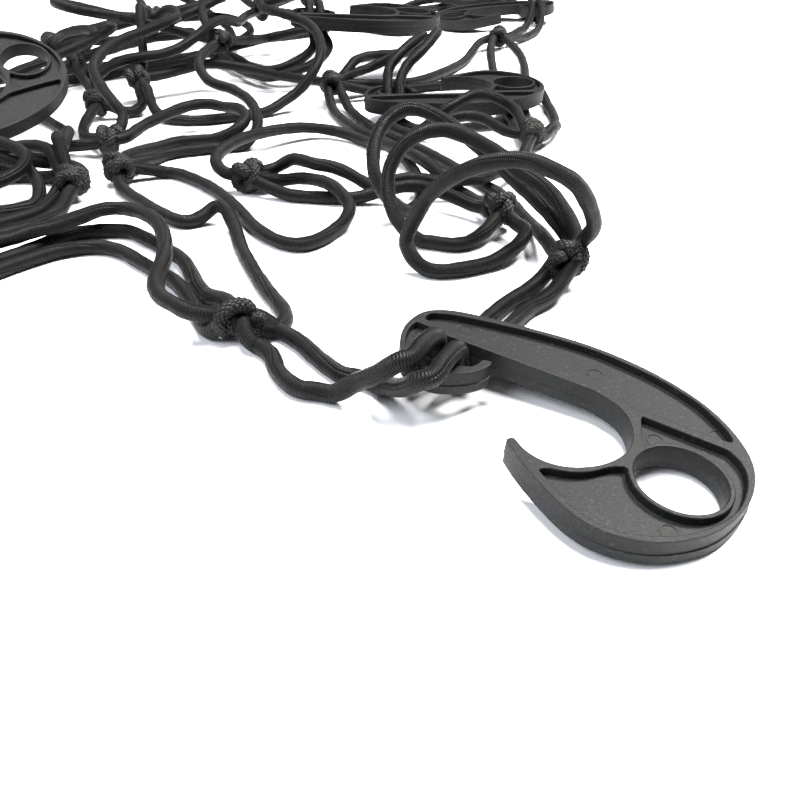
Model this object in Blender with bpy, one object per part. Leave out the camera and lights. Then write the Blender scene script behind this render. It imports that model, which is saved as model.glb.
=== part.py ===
"""Elastic cargo net lying in a loose heap on the floor.

Round covered rubber cord is tied at knots into a wide mesh.  The edge of the
net is a doubled cord, and five moulded plastic hooks are threaded on it.
Tables and sizes are in millimetres, measured on the floor from a point in
front of the heap; the finished solids are in metres, centred on their box.
"""
import math

import bmesh
import bpy
import numpy as np
from mathutils import Matrix, Vector

# ---------------------------------------------------------------- sizes, mm
MM = 0.001
MIDDLE = (-63.3, 399.5)      # middle of the heap's box on the floor

CORD = 5.0                   # diameter of the covered cord
CORD_FLAT = 2.3              # from a tube's middle to its flat faces
CORD_SIDES = 5
FLOOR = CORD_FLAT            # height of a cord's middle where it lies flat
SET_OUT = (0.0, 3.3, 6.0, 900.0)          # a height near the floor in the tables ...
SET_DOWN = (FLOOR, FLOOR, 6.0, 900.0)     # ... is laid down flat on it
AIR = 0.8                    # least air between two cords
STRAND = 190.0               # length of a slack mesh cord from knot to knot
PAIR = 2.9                   # half the spacing of the two edge cords at a knot
STEP = 2.2                   # spacing of the points while a cord is laid
TIGHTEST = 5.0               # least radius of a bend
LONGEST = 23.0               # longest and shortest facet along a cord
SHORTEST = 5.0
LONGEST_IN_HOOK = 3.0        # the same where a cord bends through a hook
IN_HOOK = 14.0               # reach of that stretch from the slot's middle
BEND = math.radians(34)      # most turn from one facet to the next
HUMP = 26.0                  # half the length of a hump over another cord
MEETING = 17.0               # reach of a shared knot or slot, where cords may touch

KNOT_HALF = 7.6              # half the length of a knot
KNOT_R = 6.3                 # radius on a knot's ridges
KNOT_SIDES = 7

HOOK_T = 6.6                 # thickness of a hook
HOOK_POCKET = 2.1            # depth of the pockets in both faces
HOOK_LANE = 3.0              # half the spacing of the two cords in the slot
RING_AT = (61.6, -13.9)      # finger ring: middle and radius of its hole
RING_HOLE = 10.0

# ------------------------------------------------------------------- knots
# name, x, y, height of the middle, heading in degrees
KNOTS = (
    ("a", -47, 186, 7, 150),
    ("b", 53, 219, 9, 250),
    ("c", -115, 305, 7, 120),
    ("d", -61, 295, 7, 60),
    ("e", 37, 260, 8, 170),
    ("f", -128, 289, 8, 100),
    ("g", 59, 341, 9, 100),
    ("h", -129, 336, 8, 40),
    ("j", -138, 424, 12, 30),
    ("k", -181, 452, 14, 60),
    ("l", -151, 393, 8, 150),
    ("m", -36, 422, 10, 90),
    ("n", -88, 531, 26, 40),
    ("p", 65, 545, 8, 80),
    ("q", 70, 690, 7, 60),
    ("r", -112, 498, 9, 10),
    ("s", -232, 392, 8, 100),
    ("u", -192, 278, 7, 90),
    ("v", -100, 452, 24, 150),
    ("w", -152, 508, 26, 20),
    ("x", -214, 505, 12, 120),
)

# ------------------------------------------------------------------- hooks
# name, x, y, height (middle of the slot), heading, pitch, roll, turned over
HOOKS = (
    ("hook_front", 12.4, 160.6, 9.85, -29, -4.9, 0, False),
    ("hook_left", -210.2, 323, 18.5, 40.2, 6.1, 25.4, True),
    ("hook_middle", -3, 391, 11, 3, 0, 0, True),
    ("hook_back", -48, 474, 32, 16, -4.5, 0, True),
    ("hook_far", 100, 626, 9.85, 176, -4.9, 0, True),
)

# Outline of a hook seen from above: the x axis is the straight inner side of
# the shank and the middle of the cord slot is (0, 0).
HOOK_BACK = (
    (24.7, -23.2), (30.3, -27.9), (38.0, -33.0), (44.5, -36.3), (51.0, -37.5), (58.6, -36.0),
    (65.4, -31.8), (71.7, -24.6), (75.2, -15.5), (76.0, -7.5), (74.2, 0.6), (69.3, 8.0), (62.0, 14.4),
    (52.6, 19.0), (41.0, 22.0), (28.0, 22.9), (13.0, 21.3), (-0.4, 18.9), (-8.6, 16.4), (-13.6, 12.0),
    (-14.9, 5.0), (-13.6, -1.4), (-9.8, -8.0), (-4.5, -11.0), (0.5, -10.9), (5.0, -8.8), (8.6, -5.6),
    (10.8, -2.0), (11.4, 1.4),
)
HOOK_INSIDE = (
    (8.6, 1.2), (7.6, -3.2), (3.0, -5.0), (-2.6, -5.0), (-6.6, -1.8), (-6.4, 3.4),
)
HOOK_THROAT = (
    (-3.5, 5.0), (36.5, 4.9), (43.6, 2.0), (47.9, -3.4), (49.4, -9.6), (48.2, -15.0), (44.9, -20.0),
    (39.6, -23.9), (34.2, -25.0), (29.6, -23.8), (26.4, -21.4),
)
# The pockets: along the shank, round its slot end, and round the finger ring.
HOOK_POCKETS = (
    ((-11.6, 8.7), (6.0, 7.2), (36.5, 6.8), (46.0, 4.0), (69.0, 4.4), (65.7, 9.6), (59.6, 14.4),
     (46.2, 19.4), (32.3, 21.3), (5.9, 18.0), (-10.0, 13.9), (-12.4, 10.2)),
    ((-12.9, 6.4), (-13.2, 3.4), (-12.3, -0.6), (-8.6, -6.6), (-8.3, -3.0), (-8.2, 3.0), (-6.8, 5.6)),
    ((34.6, -28.2), (43.8, -34.2), (52.5, -35.8), (58.2, -34.3), (65.1, -30.0), (70.0, -24.4),
     (73.3, -17.4), (74.2, -10.6), (71.8, -1.4), (68.8, 1.4), (48.8, 2.0), (50.9, -7.2), (54.2, -5.1),
     (61.6, -2.4), (69.7, -5.8), (73.1, -13.9), (69.7, -22.0), (61.6, -25.4), (53.5, -22.0),
     (50.4, -17.0), (47.6, -18.9), (44.3, -22.8), (40.6, -25.3), (36.4, -26.8)),
)

# Where a cord's middle runs in a hook's slot: across the small bar, down
# through the slot and out under the shank, as (y, z) in the hook's own axes.
OVER_BAR = ((-15.6, 4.8), (-12.0, 6.8), (-8.5, 7.0), (-5.2, 6.9))
IN_SLOT = ((-2.5, 5.9), (-1.4, 3.3), (0.0, 0.0), (1.4, -3.3), (2.5, -5.9))
UNDER_SHANK = ((5.2, -7.0), (9.5, -7.1))

# --------------------------------------------------------- cords in the heap
# Cords deep in the heap: first knot, last knot, heading of the slack's bow in
# degrees, how far the bow stands up (0 lies flat), share of an S in the bow
SLACK = (
    ("r", "v", 40, 0.0, 0.3),
    ("r", "w", 100, 0.1, -0.3),
    ("v", "w", 220, 0.3, 0.4),
    ("v", "k", 60, 0.3, 0.3),
    ("w", "x", 40, 0.1, 0.3),
    ("x", "s", 0, 0.3, -0.2),
    ("x", "k", 40, 0.0, 0.2),
    ("n", "w", 70, 0.1, 0.3),
    ("x", "r", 60, 0.1, -0.3),
)

# Edge cords run in pairs from knot to knot along the net's edge.
# first knot, last knot, lane beside the knots (-1 or 1), bends up to the hook
# or all of them; then the hook, whether the cord crosses its small bar, and
# the bends after it
EDGE = (
    ("a", "b", 1, ((-42, 189, 6), (-37, 188, 4), (-33, 185, 3), (-28, 180, 3), (-23, 173, 3),
                   (-19, 168, 3), (-15, 164, 3), (-11, 163, 3), (-6, 160, 3), (-3, 156, 5), (0, 151, 8),
                   (3, 147, 12), (5, 145, 15)),
     "hook_front", True, ((22, 174, 3), (30, 186, 3), (39, 199, 3), (48, 207, 5))),
    ("a", "b", -1, ((-43, 180, 5), (-39, 178, 3), (-35, 173, 3), (-33, 167, 3), (-30, 162, 3),
                    (-26, 158, 3), (-21, 157, 3), (-16, 155, 4), (-11, 153, 7), (-6, 149, 11),
                    (-2, 148, 14), (1, 148, 16)),
     "hook_front", True, ((17, 177, 3), (24, 190, 3), (34, 204, 3), (44, 213, 5))),
    ("f", "a", -1, ((-127, 281, 6), (-129, 270, 3), (-134, 258, 3), (-146, 249, 3), (-162, 243, 3),
                    (-170, 231, 3), (-160, 220, 3), (-144, 223, 3), (-130, 234, 3), (-121, 246, 3),
                    (-113, 253, 3), (-99, 254, 3), (-91, 249, 3), (-78, 237, 3), (-72, 230, 3),
                    (-67, 220, 3), (-63, 212, 3), (-58, 205, 4), (-52, 198, 6)), None, False, ()),
    ("f", "a", 1, ((-133, 279, 5), (-138, 268, 3), (-150, 258, 3), (-168, 252, 3), (-180, 234, 3),
                   (-166, 211, 3), (-144, 212, 3), (-134, 220, 3), (-126, 229, 3), (-116, 238, 3),
                   (-105, 241, 3), (-96, 238, 3), (-88, 231, 3), (-73, 216, 3), (-64, 203, 3),
                   (-59, 193, 3), (-54, 185, 4)), None, False, ()),
    ("b", "m", 1, ((54, 230, 12), (48, 235, 18), (41, 245, 22), (33, 258, 26), (22, 266, 33),
                   (12, 271, 38), (3, 272, 40), (-5, 270, 36), (-9, 266, 29), (-9, 263, 20),
                   (-5, 265, 11), (2, 270, 4), (8, 283, 3), (6, 313, 3), (-4, 345, 3),
                   (-22, 370, 3), (-34, 398, 4)), None, False, ()),
    ("b", "m", -1, ((49, 238, 7), (47, 259, 4), (41, 284, 3), (29, 306, 3), (17, 328, 3),
                    (2, 350, 3), (-14, 372, 3), (-26, 400, 4)), None, False, ()),
    ("m", "g", -1, ((-29, 428, 12), (-16, 438, 14), (-1, 432, 22), (9, 416, 33), (11, 407, 36),
                    (3, 400, 32), (-5, 397, 24)),
     "hook_middle", False, ((-5, 377, 2.3), (-1, 368, 2.4), (6, 360, 4), (15, 354, 9), (27, 350, 14),
                            (37, 348, 14), (48, 345, 9))),
    ("m", "g", 1, ((-25, 434, 12), (-12, 446, 14), (6, 441, 22), (17, 421, 33), (18, 408, 37),
                   (12, 400, 32), (3, 397, 24)),
     "hook_middle", False, ((2, 377, 2.3), (7, 369, 2.4), (14, 363, 7), (23, 361, 15), (37, 364, 20),
                            (52, 360, 15))),
    ("g", "p", 1, ((58, 352, 5), (56, 370, 2), (54, 391, 2), (52, 424, 2), (54, 460, 4),
                   (56, 506, 8)), None, False, ()),
    ("g", "p", -1, ((64, 352, 5), (62, 379, 2), (66, 420, 2), (72, 460, 4), (74, 500, 6)), None, False, ()),
    ("p", "q", 1, ((74, 568, 4), (84, 588, 3), (92, 602, 5)),
     "hook_far", True, ((96, 642, 3), (95, 660, 4), (84, 680, 5))),
    ("p", "q", -1, ((82, 562, 4), (94, 582, 3), (101, 600, 6)),
     "hook_far", True, ((103, 642, 3), (104, 662, 4), (92, 684, 5))),
    ("q", "n", 1, ((44, 690, 3), (14, 656, 5), (6, 604, 12), (12, 550, 17), (14, 516, 18),
                   (-4, 506, 18), (-34, 516, 20), (-64, 526, 24)), None, False, ()),
    ("q", "n", -1, ((40, 680, 3), (4, 664, 5), (-10, 610, 10), (-14, 560, 14), (-34, 538, 18),
                    (-64, 536, 22)), None, False, ()),
    ("n", "r", 1, ((-78, 520, 31), (-62, 506, 38), (-50, 494, 41)),
     "hook_back", True, ((-40, 458, 19), (-50, 446, 13), (-72, 446, 7), (-92, 466, 6), (-102, 484, 7))),
    ("n", "r", -1, ((-84, 514, 31), (-70, 502, 37), (-57, 491, 41)),
     "hook_back", True, ((-49, 461, 19), (-58, 453, 13), (-74, 454, 7), (-88, 474, 6), (-99, 490, 7))),
    ("r", "s", 1, ((-134, 490, 5), (-162, 474, 4), (-190, 452, 4), (-214, 424, 5)), None, False, ()),
    ("r", "s", -1, ((-130, 504, 5), (-164, 492, 4), (-202, 474, 4), (-230, 444, 5), (-240, 414, 6)),
     None, False, ()),
    ("s", "f", 1, ((-228, 381, 13), (-224, 366, 21), (-219, 350, 29)),
     "hook_left", True, ((-198, 316, 4.9), (-191, 311, 3.2), (-176, 308, 3), (-158, 307, 3),
                         (-144, 305, 4), (-135, 299, 6))),
    ("s", "f", -1, ((-234, 380, 10), (-233, 364, 19), (-227, 346, 28)),
     "hook_left", True, ((-203, 312, 3.6), (-197, 305, 2.6), (-182, 301, 3), (-166, 302, 3),
                         (-150, 311, 3), (-136, 309, 5), (-128, 300, 7))),
)

# Mesh cords, by their bends: first knot, last knot, bends
MESH = (
    ("a", "c", ((-38, 186, 4), (-34, 190, 3), (-35, 198, 3), (-43, 213, 3), (-53, 236, 3),
                (-60, 256, 5), (-66, 266, 7), (-73, 265, 4), (-79, 262, 3), (-88, 268, 3),
                (-102, 283, 3), (-112, 295, 4))),
    ("a", "u", ((-50, 186, 8), (-58, 184, 10), (-64, 187, 11), (-69, 192, 11), (-72, 200, 11),
                (-73, 215, 12), (-77, 230, 12), (-83, 242, 12), (-91, 251, 11), (-99, 256, 10),
                (-106, 255, 9), (-112, 249, 7), (-118, 245, 5), (-125, 241, 4), (-134, 235, 3),
                (-154, 229, 3), (-180, 246, 3))),
    ("b", "e", ((58, 222, 14), (59, 217, 22), (51, 210, 36), (42, 211, 41), (34, 212, 43),
                (25, 215, 41), (16, 221, 35), (9, 226, 27), (5, 228, 19), (2, 228, 11),
                (5, 226, 5), (13, 223, 3), (24, 226, 3), (36, 233, 3), (43, 243, 5))),
    ("b", "e", ((56, 225, 14), (51, 231, 22), (45, 235, 27), (38, 238, 30), (31, 245, 34),
                (22, 251, 37), (14, 255, 38), (6, 256, 36), (0, 256, 31), (-4, 254, 23),
                (-3, 250, 13), (2, 247, 6), (10, 245, 3), (20, 243, 3), (30, 249, 5))),
    ("d", "e", ((-70, 297, 8), (-75, 306, 10), (-73, 322, 10), (-66, 339, 9), (-53, 355, 7),
                (-38, 363, 5), (-23, 357, 4), (-10, 342, 3), (4, 319, 3), (20, 296, 3), (32, 276, 4))),
    ("d", "e", ((-52, 290, 5), (-39, 286, 3), (-21, 284, 3), (-4, 284, 3), (12, 280, 3), (26, 271, 5))),
    ("c", "d", ((-107, 310, 5), (-94, 311, 3), (-76, 295, 3), (-63, 276, 3), (-53, 258, 3),
                (-43, 246, 3), (-34, 243, 3), (-26, 250, 3), (-19, 266, 3), (-21, 275, 3),
                (-29, 286, 3), (-42, 297, 4))),
    ("d", "g", ((-53, 301, 7), (-43, 300, 5), (-31, 292, 3), (-18, 292, 3), (-2, 292, 3),
                (16, 288, 3), (34, 292, 3), (48, 312, 4))),
    ("s", "u", ((-239, 372, 4), (-239, 350, 3), (-238, 325, 3), (-231, 302, 3), (-214, 286, 4))),
    ("f", "u", ((-136, 298, 7), (-146, 312, 7), (-163, 317, 8), (-173, 309, 9), (-165, 301, 9),
                (-150, 297, 9), (-142, 289, 8), (-139, 281, 5), (-142, 275, 3), (-154, 269, 3),
                (-174, 266, 3))),
    ("h", "u", ((-136, 337, 6), (-152, 340, 4), (-164, 329, 3), (-172, 318, 5), (-174, 309, 12),
                (-160, 303, 15), (-150, 298, 15), (-145, 292, 14), (-147, 286, 11), (-157, 281, 8),
                (-176, 278, 5))),
    ("h", "l", ((-136, 344, 6), (-146, 356, 4), (-152, 372, 4))),
    ("k", "l", ((-176, 440, 12), (-166, 424, 8), (-158, 408, 6))),
    ("j", "l", ((-136, 414, 8), (-132, 402, 5), (-138, 394, 4))),
    ("k", "f", ((-186, 440, 12), (-190, 415, 5), (-184, 395, 3), (-170, 378, 3), (-157, 362, 3),
                (-147, 340, 4), (-141, 315, 6))),
    ("j", "m", ((-128, 430, 12), (-116, 440, 13), (-104, 446, 14), (-84, 444, 12), (-64, 436, 10),
                (-48, 428, 10))),
    ("g", "m", ((66, 350, 5), (73, 362, 3), (76, 380, 3), (77, 400, 3), (75, 420, 3), (66, 438, 3),
                (48, 447, 3), (24, 446, 3), (2, 438, 3), (-16, 427, 5))),
    ("p", "m", ((52, 536, 6), (40, 500, 4), (24, 470, 4), (6, 450, 4), (-16, 436, 6))),
    ("c", "v", ((-110, 318, 5), (-103, 334, 3), (-88, 341, 3), (-73, 345, 3), (-66, 350, 7),
                (-66, 359, 11), (-71, 373, 14), (-81, 386, 16), (-95, 396, 18), (-104, 420, 22))),
    ("h", "c", ((-121, 336, 9), (-115, 354, 10), (-101, 373, 12), (-88, 375, 12), (-75, 363, 10),
                (-70, 352, 7), (-78, 349, 4), (-99, 352, 3), (-110, 340, 4), (-116, 322, 6))),
    ("j", "n", ((-130, 408, 8), (-120, 388, 4), (-99, 383, 3), (-72, 394, 3), (-55, 406, 8),
                (-45, 406, 18), (-40, 411, 27), (-42, 426, 32), (-50, 444, 35), (-66, 460, 37),
                (-78, 484, 35), (-86, 510, 31))),
    ("j", "w", ((-138, 436, 18), (-139, 446, 24), (-144, 470, 30), (-150, 492, 30))),
    ("k", "x", ((-176, 460, 20), (-174, 472, 24), (-184, 484, 24), (-200, 492, 20))),
    ("l", "n", ((-154, 401, 12), (-154, 410, 17), (-144, 424, 21), (-124, 434, 22), (-106, 442, 25),
                (-94, 470, 28), (-92, 500, 28))),
    ("h", "w", ((-125, 340, 10), (-125, 351, 14), (-130, 357, 18), (-139, 370, 22), (-146, 384, 26),
                (-148, 400, 28), (-146, 418, 30), (-136, 434, 32), (-124, 452, 32), (-128, 478, 30))),
)

COLOURS = {"net": (0.016, 0.016, 0.018), "hook": (0.035, 0.036, 0.039)}


# ------------------------------------------------------------ smooth curves
def spline(points, closed=False, per_span=8):
    """Points on a smooth curve through the given ones (Catmull-Rom)."""
    p = np.array(points, float)
    n = len(p)
    if closed:
        p = np.vstack((p[-1:], p, p[:2]))
        spans = n
    else:
        p = np.vstack((2 * p[0] - p[1], p, 2 * p[-1] - p[-2]))
        spans = n - 1
    t = np.arange(per_span)[:, None] / per_span
    out = []
    for i in range(spans):
        a, b, c, d = p[i:i + 4]
        out.append(0.5 * (2 * b + (c - a) * t + (2 * a - 5 * b + 4 * c - d) * t ** 2
                          + (3 * b - a - 3 * c + d) * t ** 3))
    if not closed:
        out.append(p[-2][None])
    return np.vstack(out)


def lengths(path):
    """Distance along a path to each of its points."""
    return np.concatenate(([0.0], np.cumsum(np.linalg.norm(np.diff(path, axis=0), axis=1))))


def respaced(path, step):
    """The same path with a point every step or so."""
    along = lengths(path)
    marks = np.linspace(0.0, along[-1], max(2, round(along[-1] / step) + 1))
    return np.stack([np.interp(marks, along, path[:, k]) for k in range(3)], 1)


def eased(path, slot=None):
    """Even points along a path, its bends opened to TIGHTEST except in a slot."""
    path = respaced(path, STEP)
    for _ in range(60):
        middle = (path[:-2] + path[2:]) / 2
        sag = np.linalg.norm(path[1:-1] - middle, axis=1)
        tight = np.concatenate(([0.0], np.clip(sag * 2 * TIGHTEST / STEP ** 2 - 1.0, 0.0, 1.0), [0.0]))
        if slot is not None:
            tight[np.linalg.norm(path - slot, axis=1) < IN_HOOK] = 0.0
        if tight.max() < 0.02:
            break
        tight = np.maximum(tight, 0.6 * np.maximum(np.roll(tight, 1), np.roll(tight, -1)))[1:-1, None]
        path[1:-1] += 0.5 * tight * (middle - path[1:-1])
    return respaced(path, STEP)


def thinned(path, slot=None):
    """Few points: close together in a bend and far apart on a straight run."""
    fine = respaced(path, 1.0)
    way = np.gradient(fine, axis=0)
    way /= np.linalg.norm(way, axis=1)[:, None]
    in_hook = np.zeros(len(fine), bool)
    if slot is not None:
        in_hook = np.linalg.norm(fine - slot, axis=1) < IN_HOOK
    keep = [0]
    for i in range(1, len(fine)):
        run = i - keep[-1]
        turn = math.acos(float(np.clip(way[i] @ way[keep[-1]], -1.0, 1.0)))
        most = LONGEST_IN_HOOK if in_hook[i] else LONGEST
        if run >= most or (run >= SHORTEST and turn >= BEND):
            keep.append(i)
    if len(fine) - 1 - keep[-1] < SHORTEST and len(keep) > 1:
        keep.pop()
    keep.append(len(fine) - 1)
    return fine[keep]


# ------------------------------------------------------------- hook's place
def hook_matrix(row):
    """Matrix from a hook's own millimetres to the heap's."""
    _, x, y, z, heading, pitch, roll, turned = row
    turn = Matrix.Rotation(math.radians(heading), 4, "Z") @ Matrix.Rotation(math.radians(-pitch), 4, "Y")
    turn = turn @ Matrix.Rotation(math.radians(roll), 4, "X")
    if turned:
        turn = turn @ Matrix.Rotation(math.pi, 4, "X")
    return Matrix.Translation((x, y, z)) @ turn


def through_hook(row, lane, over):
    """Places of a cord's middle as it passes through a hook's slot."""
    up = -1 if row[7] else 1
    m = hook_matrix(row)
    own = (OVER_BAR if over else ()) + IN_SLOT + UNDER_SHANK
    return [tuple(m @ Vector((HOOK_LANE * lane, y, z * up))) for y, z in own]


# ------------------------------------------------------------- cord routes
def knot_row(name):
    return next(k for k in KNOTS if k[0] == name)


def knot_point(name, lane=0):
    """Middle of a knot, or the place beside it of one of a pair of cords."""
    _, x, y, z, heading = knot_row(name)
    side = math.radians(heading + 90)
    return (x + lane * PAIR * math.cos(side), y + lane * PAIR * math.sin(side), z)


def bow(start, end, heading, stand, ess):
    """Slack cord between two knots, bowed aside until it is STRAND long."""
    a = np.array(start, float)
    b = np.array(end, float)
    t = np.linspace(0.0, 1.0, 25)[:, None]
    out = np.array((math.cos(math.radians(heading)), math.sin(math.radians(heading)), stand))
    along = (b - a) / np.linalg.norm(b - a)
    low, high = 0.0, STRAND
    for _ in range(30):
        size = (low + high) / 2
        path = a + (b - a) * t + size * (np.sin(math.pi * t) * out + ess * np.sin(2 * math.pi * t) * along)
        if lengths(path)[-1] < STRAND:
            low = size
        else:
            high = size
    path[:, 2] = np.maximum(path[:, 2], FLOOR)
    return path


def routes():
    """Every cord as a dict: its two knots, its own hook and its path."""
    hooks = {row[0]: row for row in HOOKS}
    found = []
    for first, last, heading, stand, ess in SLACK:
        path = bow(knot_point(first), knot_point(last), heading, stand, ess)
        found.append({"ends": (first, last), "hook": None, "slot": None, "path": eased(path)})
    for first, last, lane, before, hook, over, after in EDGE:
        middle = through_hook(hooks[hook], lane, over) if hook else []
        slot = hooks[hook][1:4] if hook else None
        points = [knot_point(first, lane), *before, *middle, *after, knot_point(last, lane)]
        path = eased(spline(points), slot)
        found.append({"ends": (first, last), "hook": hook, "slot": slot, "path": path})
    for first, last, bends in MESH:
        points = [knot_point(first), *bends, knot_point(last)]
        path = eased(spline(points))
        found.append({"ends": (first, last), "hook": None, "slot": None, "path": path})
    return found


def hook_cores():
    """Points in the middle of each hook's bars, to keep cords off them."""
    cores = []
    shape = np.array(hook_outline())
    for row in HOOKS:
        m = hook_matrix(row)
        for x in np.arange(-14.0, 76.0, 3.0):
            for y in np.arange(-36.0, 21.0, 3.0):
                inside = point_inside((x, y), shape)
                if inside and math.dist((x, y), RING_AT) > RING_HOLE:
                    cores.append((row[0], *(m @ Vector((x, y, 0.0)))))
    return cores


def point_inside(point, shape):
    x, y = point
    hit = False
    for (ax, ay), (bx, by) in zip(shape, np.roll(shape, -1, axis=0)):
        if (ay > y) != (by > y) and x < ax + (y - ay) / (by - ay) * (bx - ax):
            hit = not hit
    return hit


def laid(cords):
    """Lay the cords in turn, each humped over what already lies there."""
    cores = hook_cores()
    core_at = np.array([c[1:] for c in cores])
    core_of = np.array([c[0] for c in cores])
    knot_at = np.array([k[1:4] for k in KNOTS], float)
    knot_of = [k[0] for k in KNOTS]
    down = []
    for cord in cords:
        path = cord["path"]
        path[:, 2] = np.interp(path[:, 2], SET_OUT, SET_DOWN)
        along = lengths(path)
        total = along[-1]
        free = np.clip((np.minimum(along, total - along) - KNOT_HALF) / 14.0, 0.0, 1.0)
        free = free * free * (3 - 2 * free)
        others = [(core_at[core_of != cord["hook"]], HOOK_T / 2 + CORD / 2 + AIR + 0.5, ())]
        for name, at in zip(knot_of, knot_at):
            if name not in cord["ends"]:
                others.append((at[None], KNOT_R + CORD / 2 + AIR, ()))
        for other in down:
            shared = [knot_row(name)[1:4] for name in set(cord["ends"]) & set(other["ends"])]
            if cord["hook"] and cord["hook"] == other["hook"]:
                shared.append(cord["slot"])
            others.append((other["path"], CORD + AIR, shared))
        low = path[:, :2].min(axis=0)
        high = path[:, :2].max(axis=0)
        close = []
        for at, reach, shared in others:
            inside = ((at[:, :2] > low - reach) & (at[:, :2] < high + reach)).all(axis=1)
            if inside.any():
                close.append((at[inside], reach, shared))
        for _ in range(14):
            need = np.zeros(len(path))
            for at, reach, shared in close:
                flat = np.linalg.norm(path[:, None, :2] - at[None, :, :2], axis=2)
                room = np.sqrt(np.maximum(reach ** 2 - flat ** 2, 0.0))
                rise = at[None, :, 2] + room - path[:, None, 2]
                clash = (flat < reach) & (rise > 0) & (rise < 2 * room)
                for centre in shared:
                    clash[np.linalg.norm(path - centre, axis=1) < MEETING] = False
                need = np.maximum(need, np.where(clash, rise, 0.0).max(axis=1))
            if need.max() < 0.05:
                break
            gap = np.abs(along[:, None] - along[None, :]) / HUMP
            hump = np.where(gap < 1, (1 - np.minimum(gap, 1) ** 2) ** 2, 0.0) * need[None, :]
            path[:, 2] += hump.max(axis=1) * free * 1.02
        cord["left"] = float(need.max())
        down.append(cord)
    return cords


# -------------------------------------------------------------- mesh makers
def add_object(name, mesh, colour):
    """A new object with its own material."""
    paint = bpy.data.materials.new(name + "_finish")
    paint.use_nodes = True
    shader = paint.node_tree.nodes["Principled BSDF"]
    shader.inputs["Base Color"].default_value = (*COLOURS[colour], 1.0)
    shader.inputs["Roughness"].default_value = 0.62 if colour == "net" else 0.45
    shader.inputs["Metallic"].default_value = 0.0
    mesh.materials.append(paint)
    thing = bpy.data.objects.new(name, mesh)
    bpy.context.scene.collection.objects.link(thing)
    return thing


def skin(name, rings):
    """Closed mesh from rings of points: bridged sides and two end caps."""
    made = bmesh.new()
    rows = [[made.verts.new(Vector(p) * MM) for p in ring] for ring in rings]
    for low, high in zip(rows, rows[1:]):
        for i in range(len(low)):
            j = (i + 1) % len(low)
            made.faces.new((low[i], low[j], high[j], high[i]))
    made.faces.new(rows[0][::-1])
    made.faces.new(rows[-1])
    bmesh.ops.recalc_face_normals(made, faces=made.faces)
    mesh = bpy.data.meshes.new(name)
    made.to_mesh(mesh)
    made.free()
    return mesh


def placed(x, y, z):
    return (x - MIDDLE[0], y - MIDDLE[1], z)


def cord_mesh(name, path, slot):
    """A tube of few sides, one of them flat on the floor."""
    points = thinned(path, slot)
    way = np.gradient(points, axis=0)
    way /= np.linalg.norm(way, axis=1)[:, None]
    corner = CORD_FLAT / math.cos(math.pi / CORD_SIDES)
    rings = []
    side = None
    for point, along in zip(points, way):
        level = np.array((-along[1], along[0], 0.0))
        if side is None or np.linalg.norm(level) > 0.3:
            level = level / np.linalg.norm(level)
            side = level if side is None or level @ side > -0.2 else -level
        side = side - along * (side @ along)
        side /= np.linalg.norm(side)
        up = np.cross(along, side)
        half_side = math.pi / CORD_SIDES
        first = -math.pi / 2 + (half_side if up[2] >= 0 else 0.0)
        ring = []
        for k in range(CORD_SIDES):
            angle = first + 2 * half_side * k
            ring.append(placed(*(point + corner * (math.cos(angle) * side + math.sin(angle) * up))))
        rings.append(ring)
    return skin(name, rings)


def knot_mesh(name, row):
    """Barrel of three ridges, as the wraps of the knot."""
    _, x, y, z, heading = row
    turn = Matrix.Rotation(math.radians(heading), 3, "Z")
    profile = ((-1.0, 0.6), (-0.5, 1.0), (0.0, 0.82), (0.5, 1.0), (1.0, 0.6))
    rings = []
    for along, size in profile:
        ring = []
        for k in range(KNOT_SIDES):
            angle = 2 * math.pi * k / KNOT_SIDES - math.pi / 2 + math.pi / KNOT_SIDES
            own = Vector((along * KNOT_HALF, math.cos(angle) * KNOT_R * size, math.sin(angle) * KNOT_R * size))
            ring.append(placed(*(turn @ own + Vector((x, y, z)))))
        rings.append(ring)
    return skin(name, rings)


def prism(name, outline, low, high):
    return skin(name, [[(x, y, low) for x, y in outline], [(x, y, high) for x, y in outline]])


def hook_outline():
    """Outline of a hook: round back, cord slot, straight shank and throat."""
    back = spline(HOOK_BACK, per_span=2)
    inside = spline(HOOK_INSIDE, per_span=2)
    throat = np.vstack((spline(HOOK_THROAT[:2], per_span=1)[:1], spline(HOOK_THROAT[1:], per_span=2)))
    return [tuple(p) for p in np.vstack((back, inside, throat))]


def circle(middle, radius, sides):
    turns = (2 * math.pi * k / sides for k in range(sides))
    return [(middle[0] + radius * math.cos(a), middle[1] + radius * math.sin(a)) for a in turns]


def cut(thing, cutters):
    """Take the cutters' volumes out of an object, once and for all."""
    for cutter in cutters:
        modifier = thing.modifiers.new("cut", "BOOLEAN")
        modifier.operation = "DIFFERENCE"
        modifier.solver = "EXACT"
        modifier.object = cutter
    freeze(thing)
    for cutter in cutters:
        bpy.data.objects.remove(cutter)


def freeze(thing):
    """Replace an object's mesh by its evaluated one."""
    bpy.context.view_layer.update()
    seen = thing.evaluated_get(bpy.context.evaluated_depsgraph_get())
    mesh = bpy.data.meshes.new_from_object(seen)
    thing.modifiers.clear()
    thing.data = mesh


def guide(name, mesh):
    thing = bpy.data.objects.new(name, mesh)
    bpy.context.scene.collection.objects.link(thing)
    return thing


def hook_mesh():
    """One hook: a plate with a finger hole and pockets in both faces."""
    half = HOOK_T / 2
    body = guide("hook_plate", prism("hook_plate", hook_outline(), -half, half))
    cutters = [guide("finger", prism("finger", circle(RING_AT, RING_HOLE, 18), -half - 2, half + 2))]
    for number, pocket in enumerate(HOOK_POCKETS):
        for low, high in ((half - HOOK_POCKET, half + 2), (-half - 2, HOOK_POCKET - half)):
            cutters.append(guide("pocket", prism(f"pocket_{number}", pocket, low, high)))
    cut(body, cutters)
    mesh = body.data
    bpy.data.objects.remove(body)
    return mesh


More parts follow.
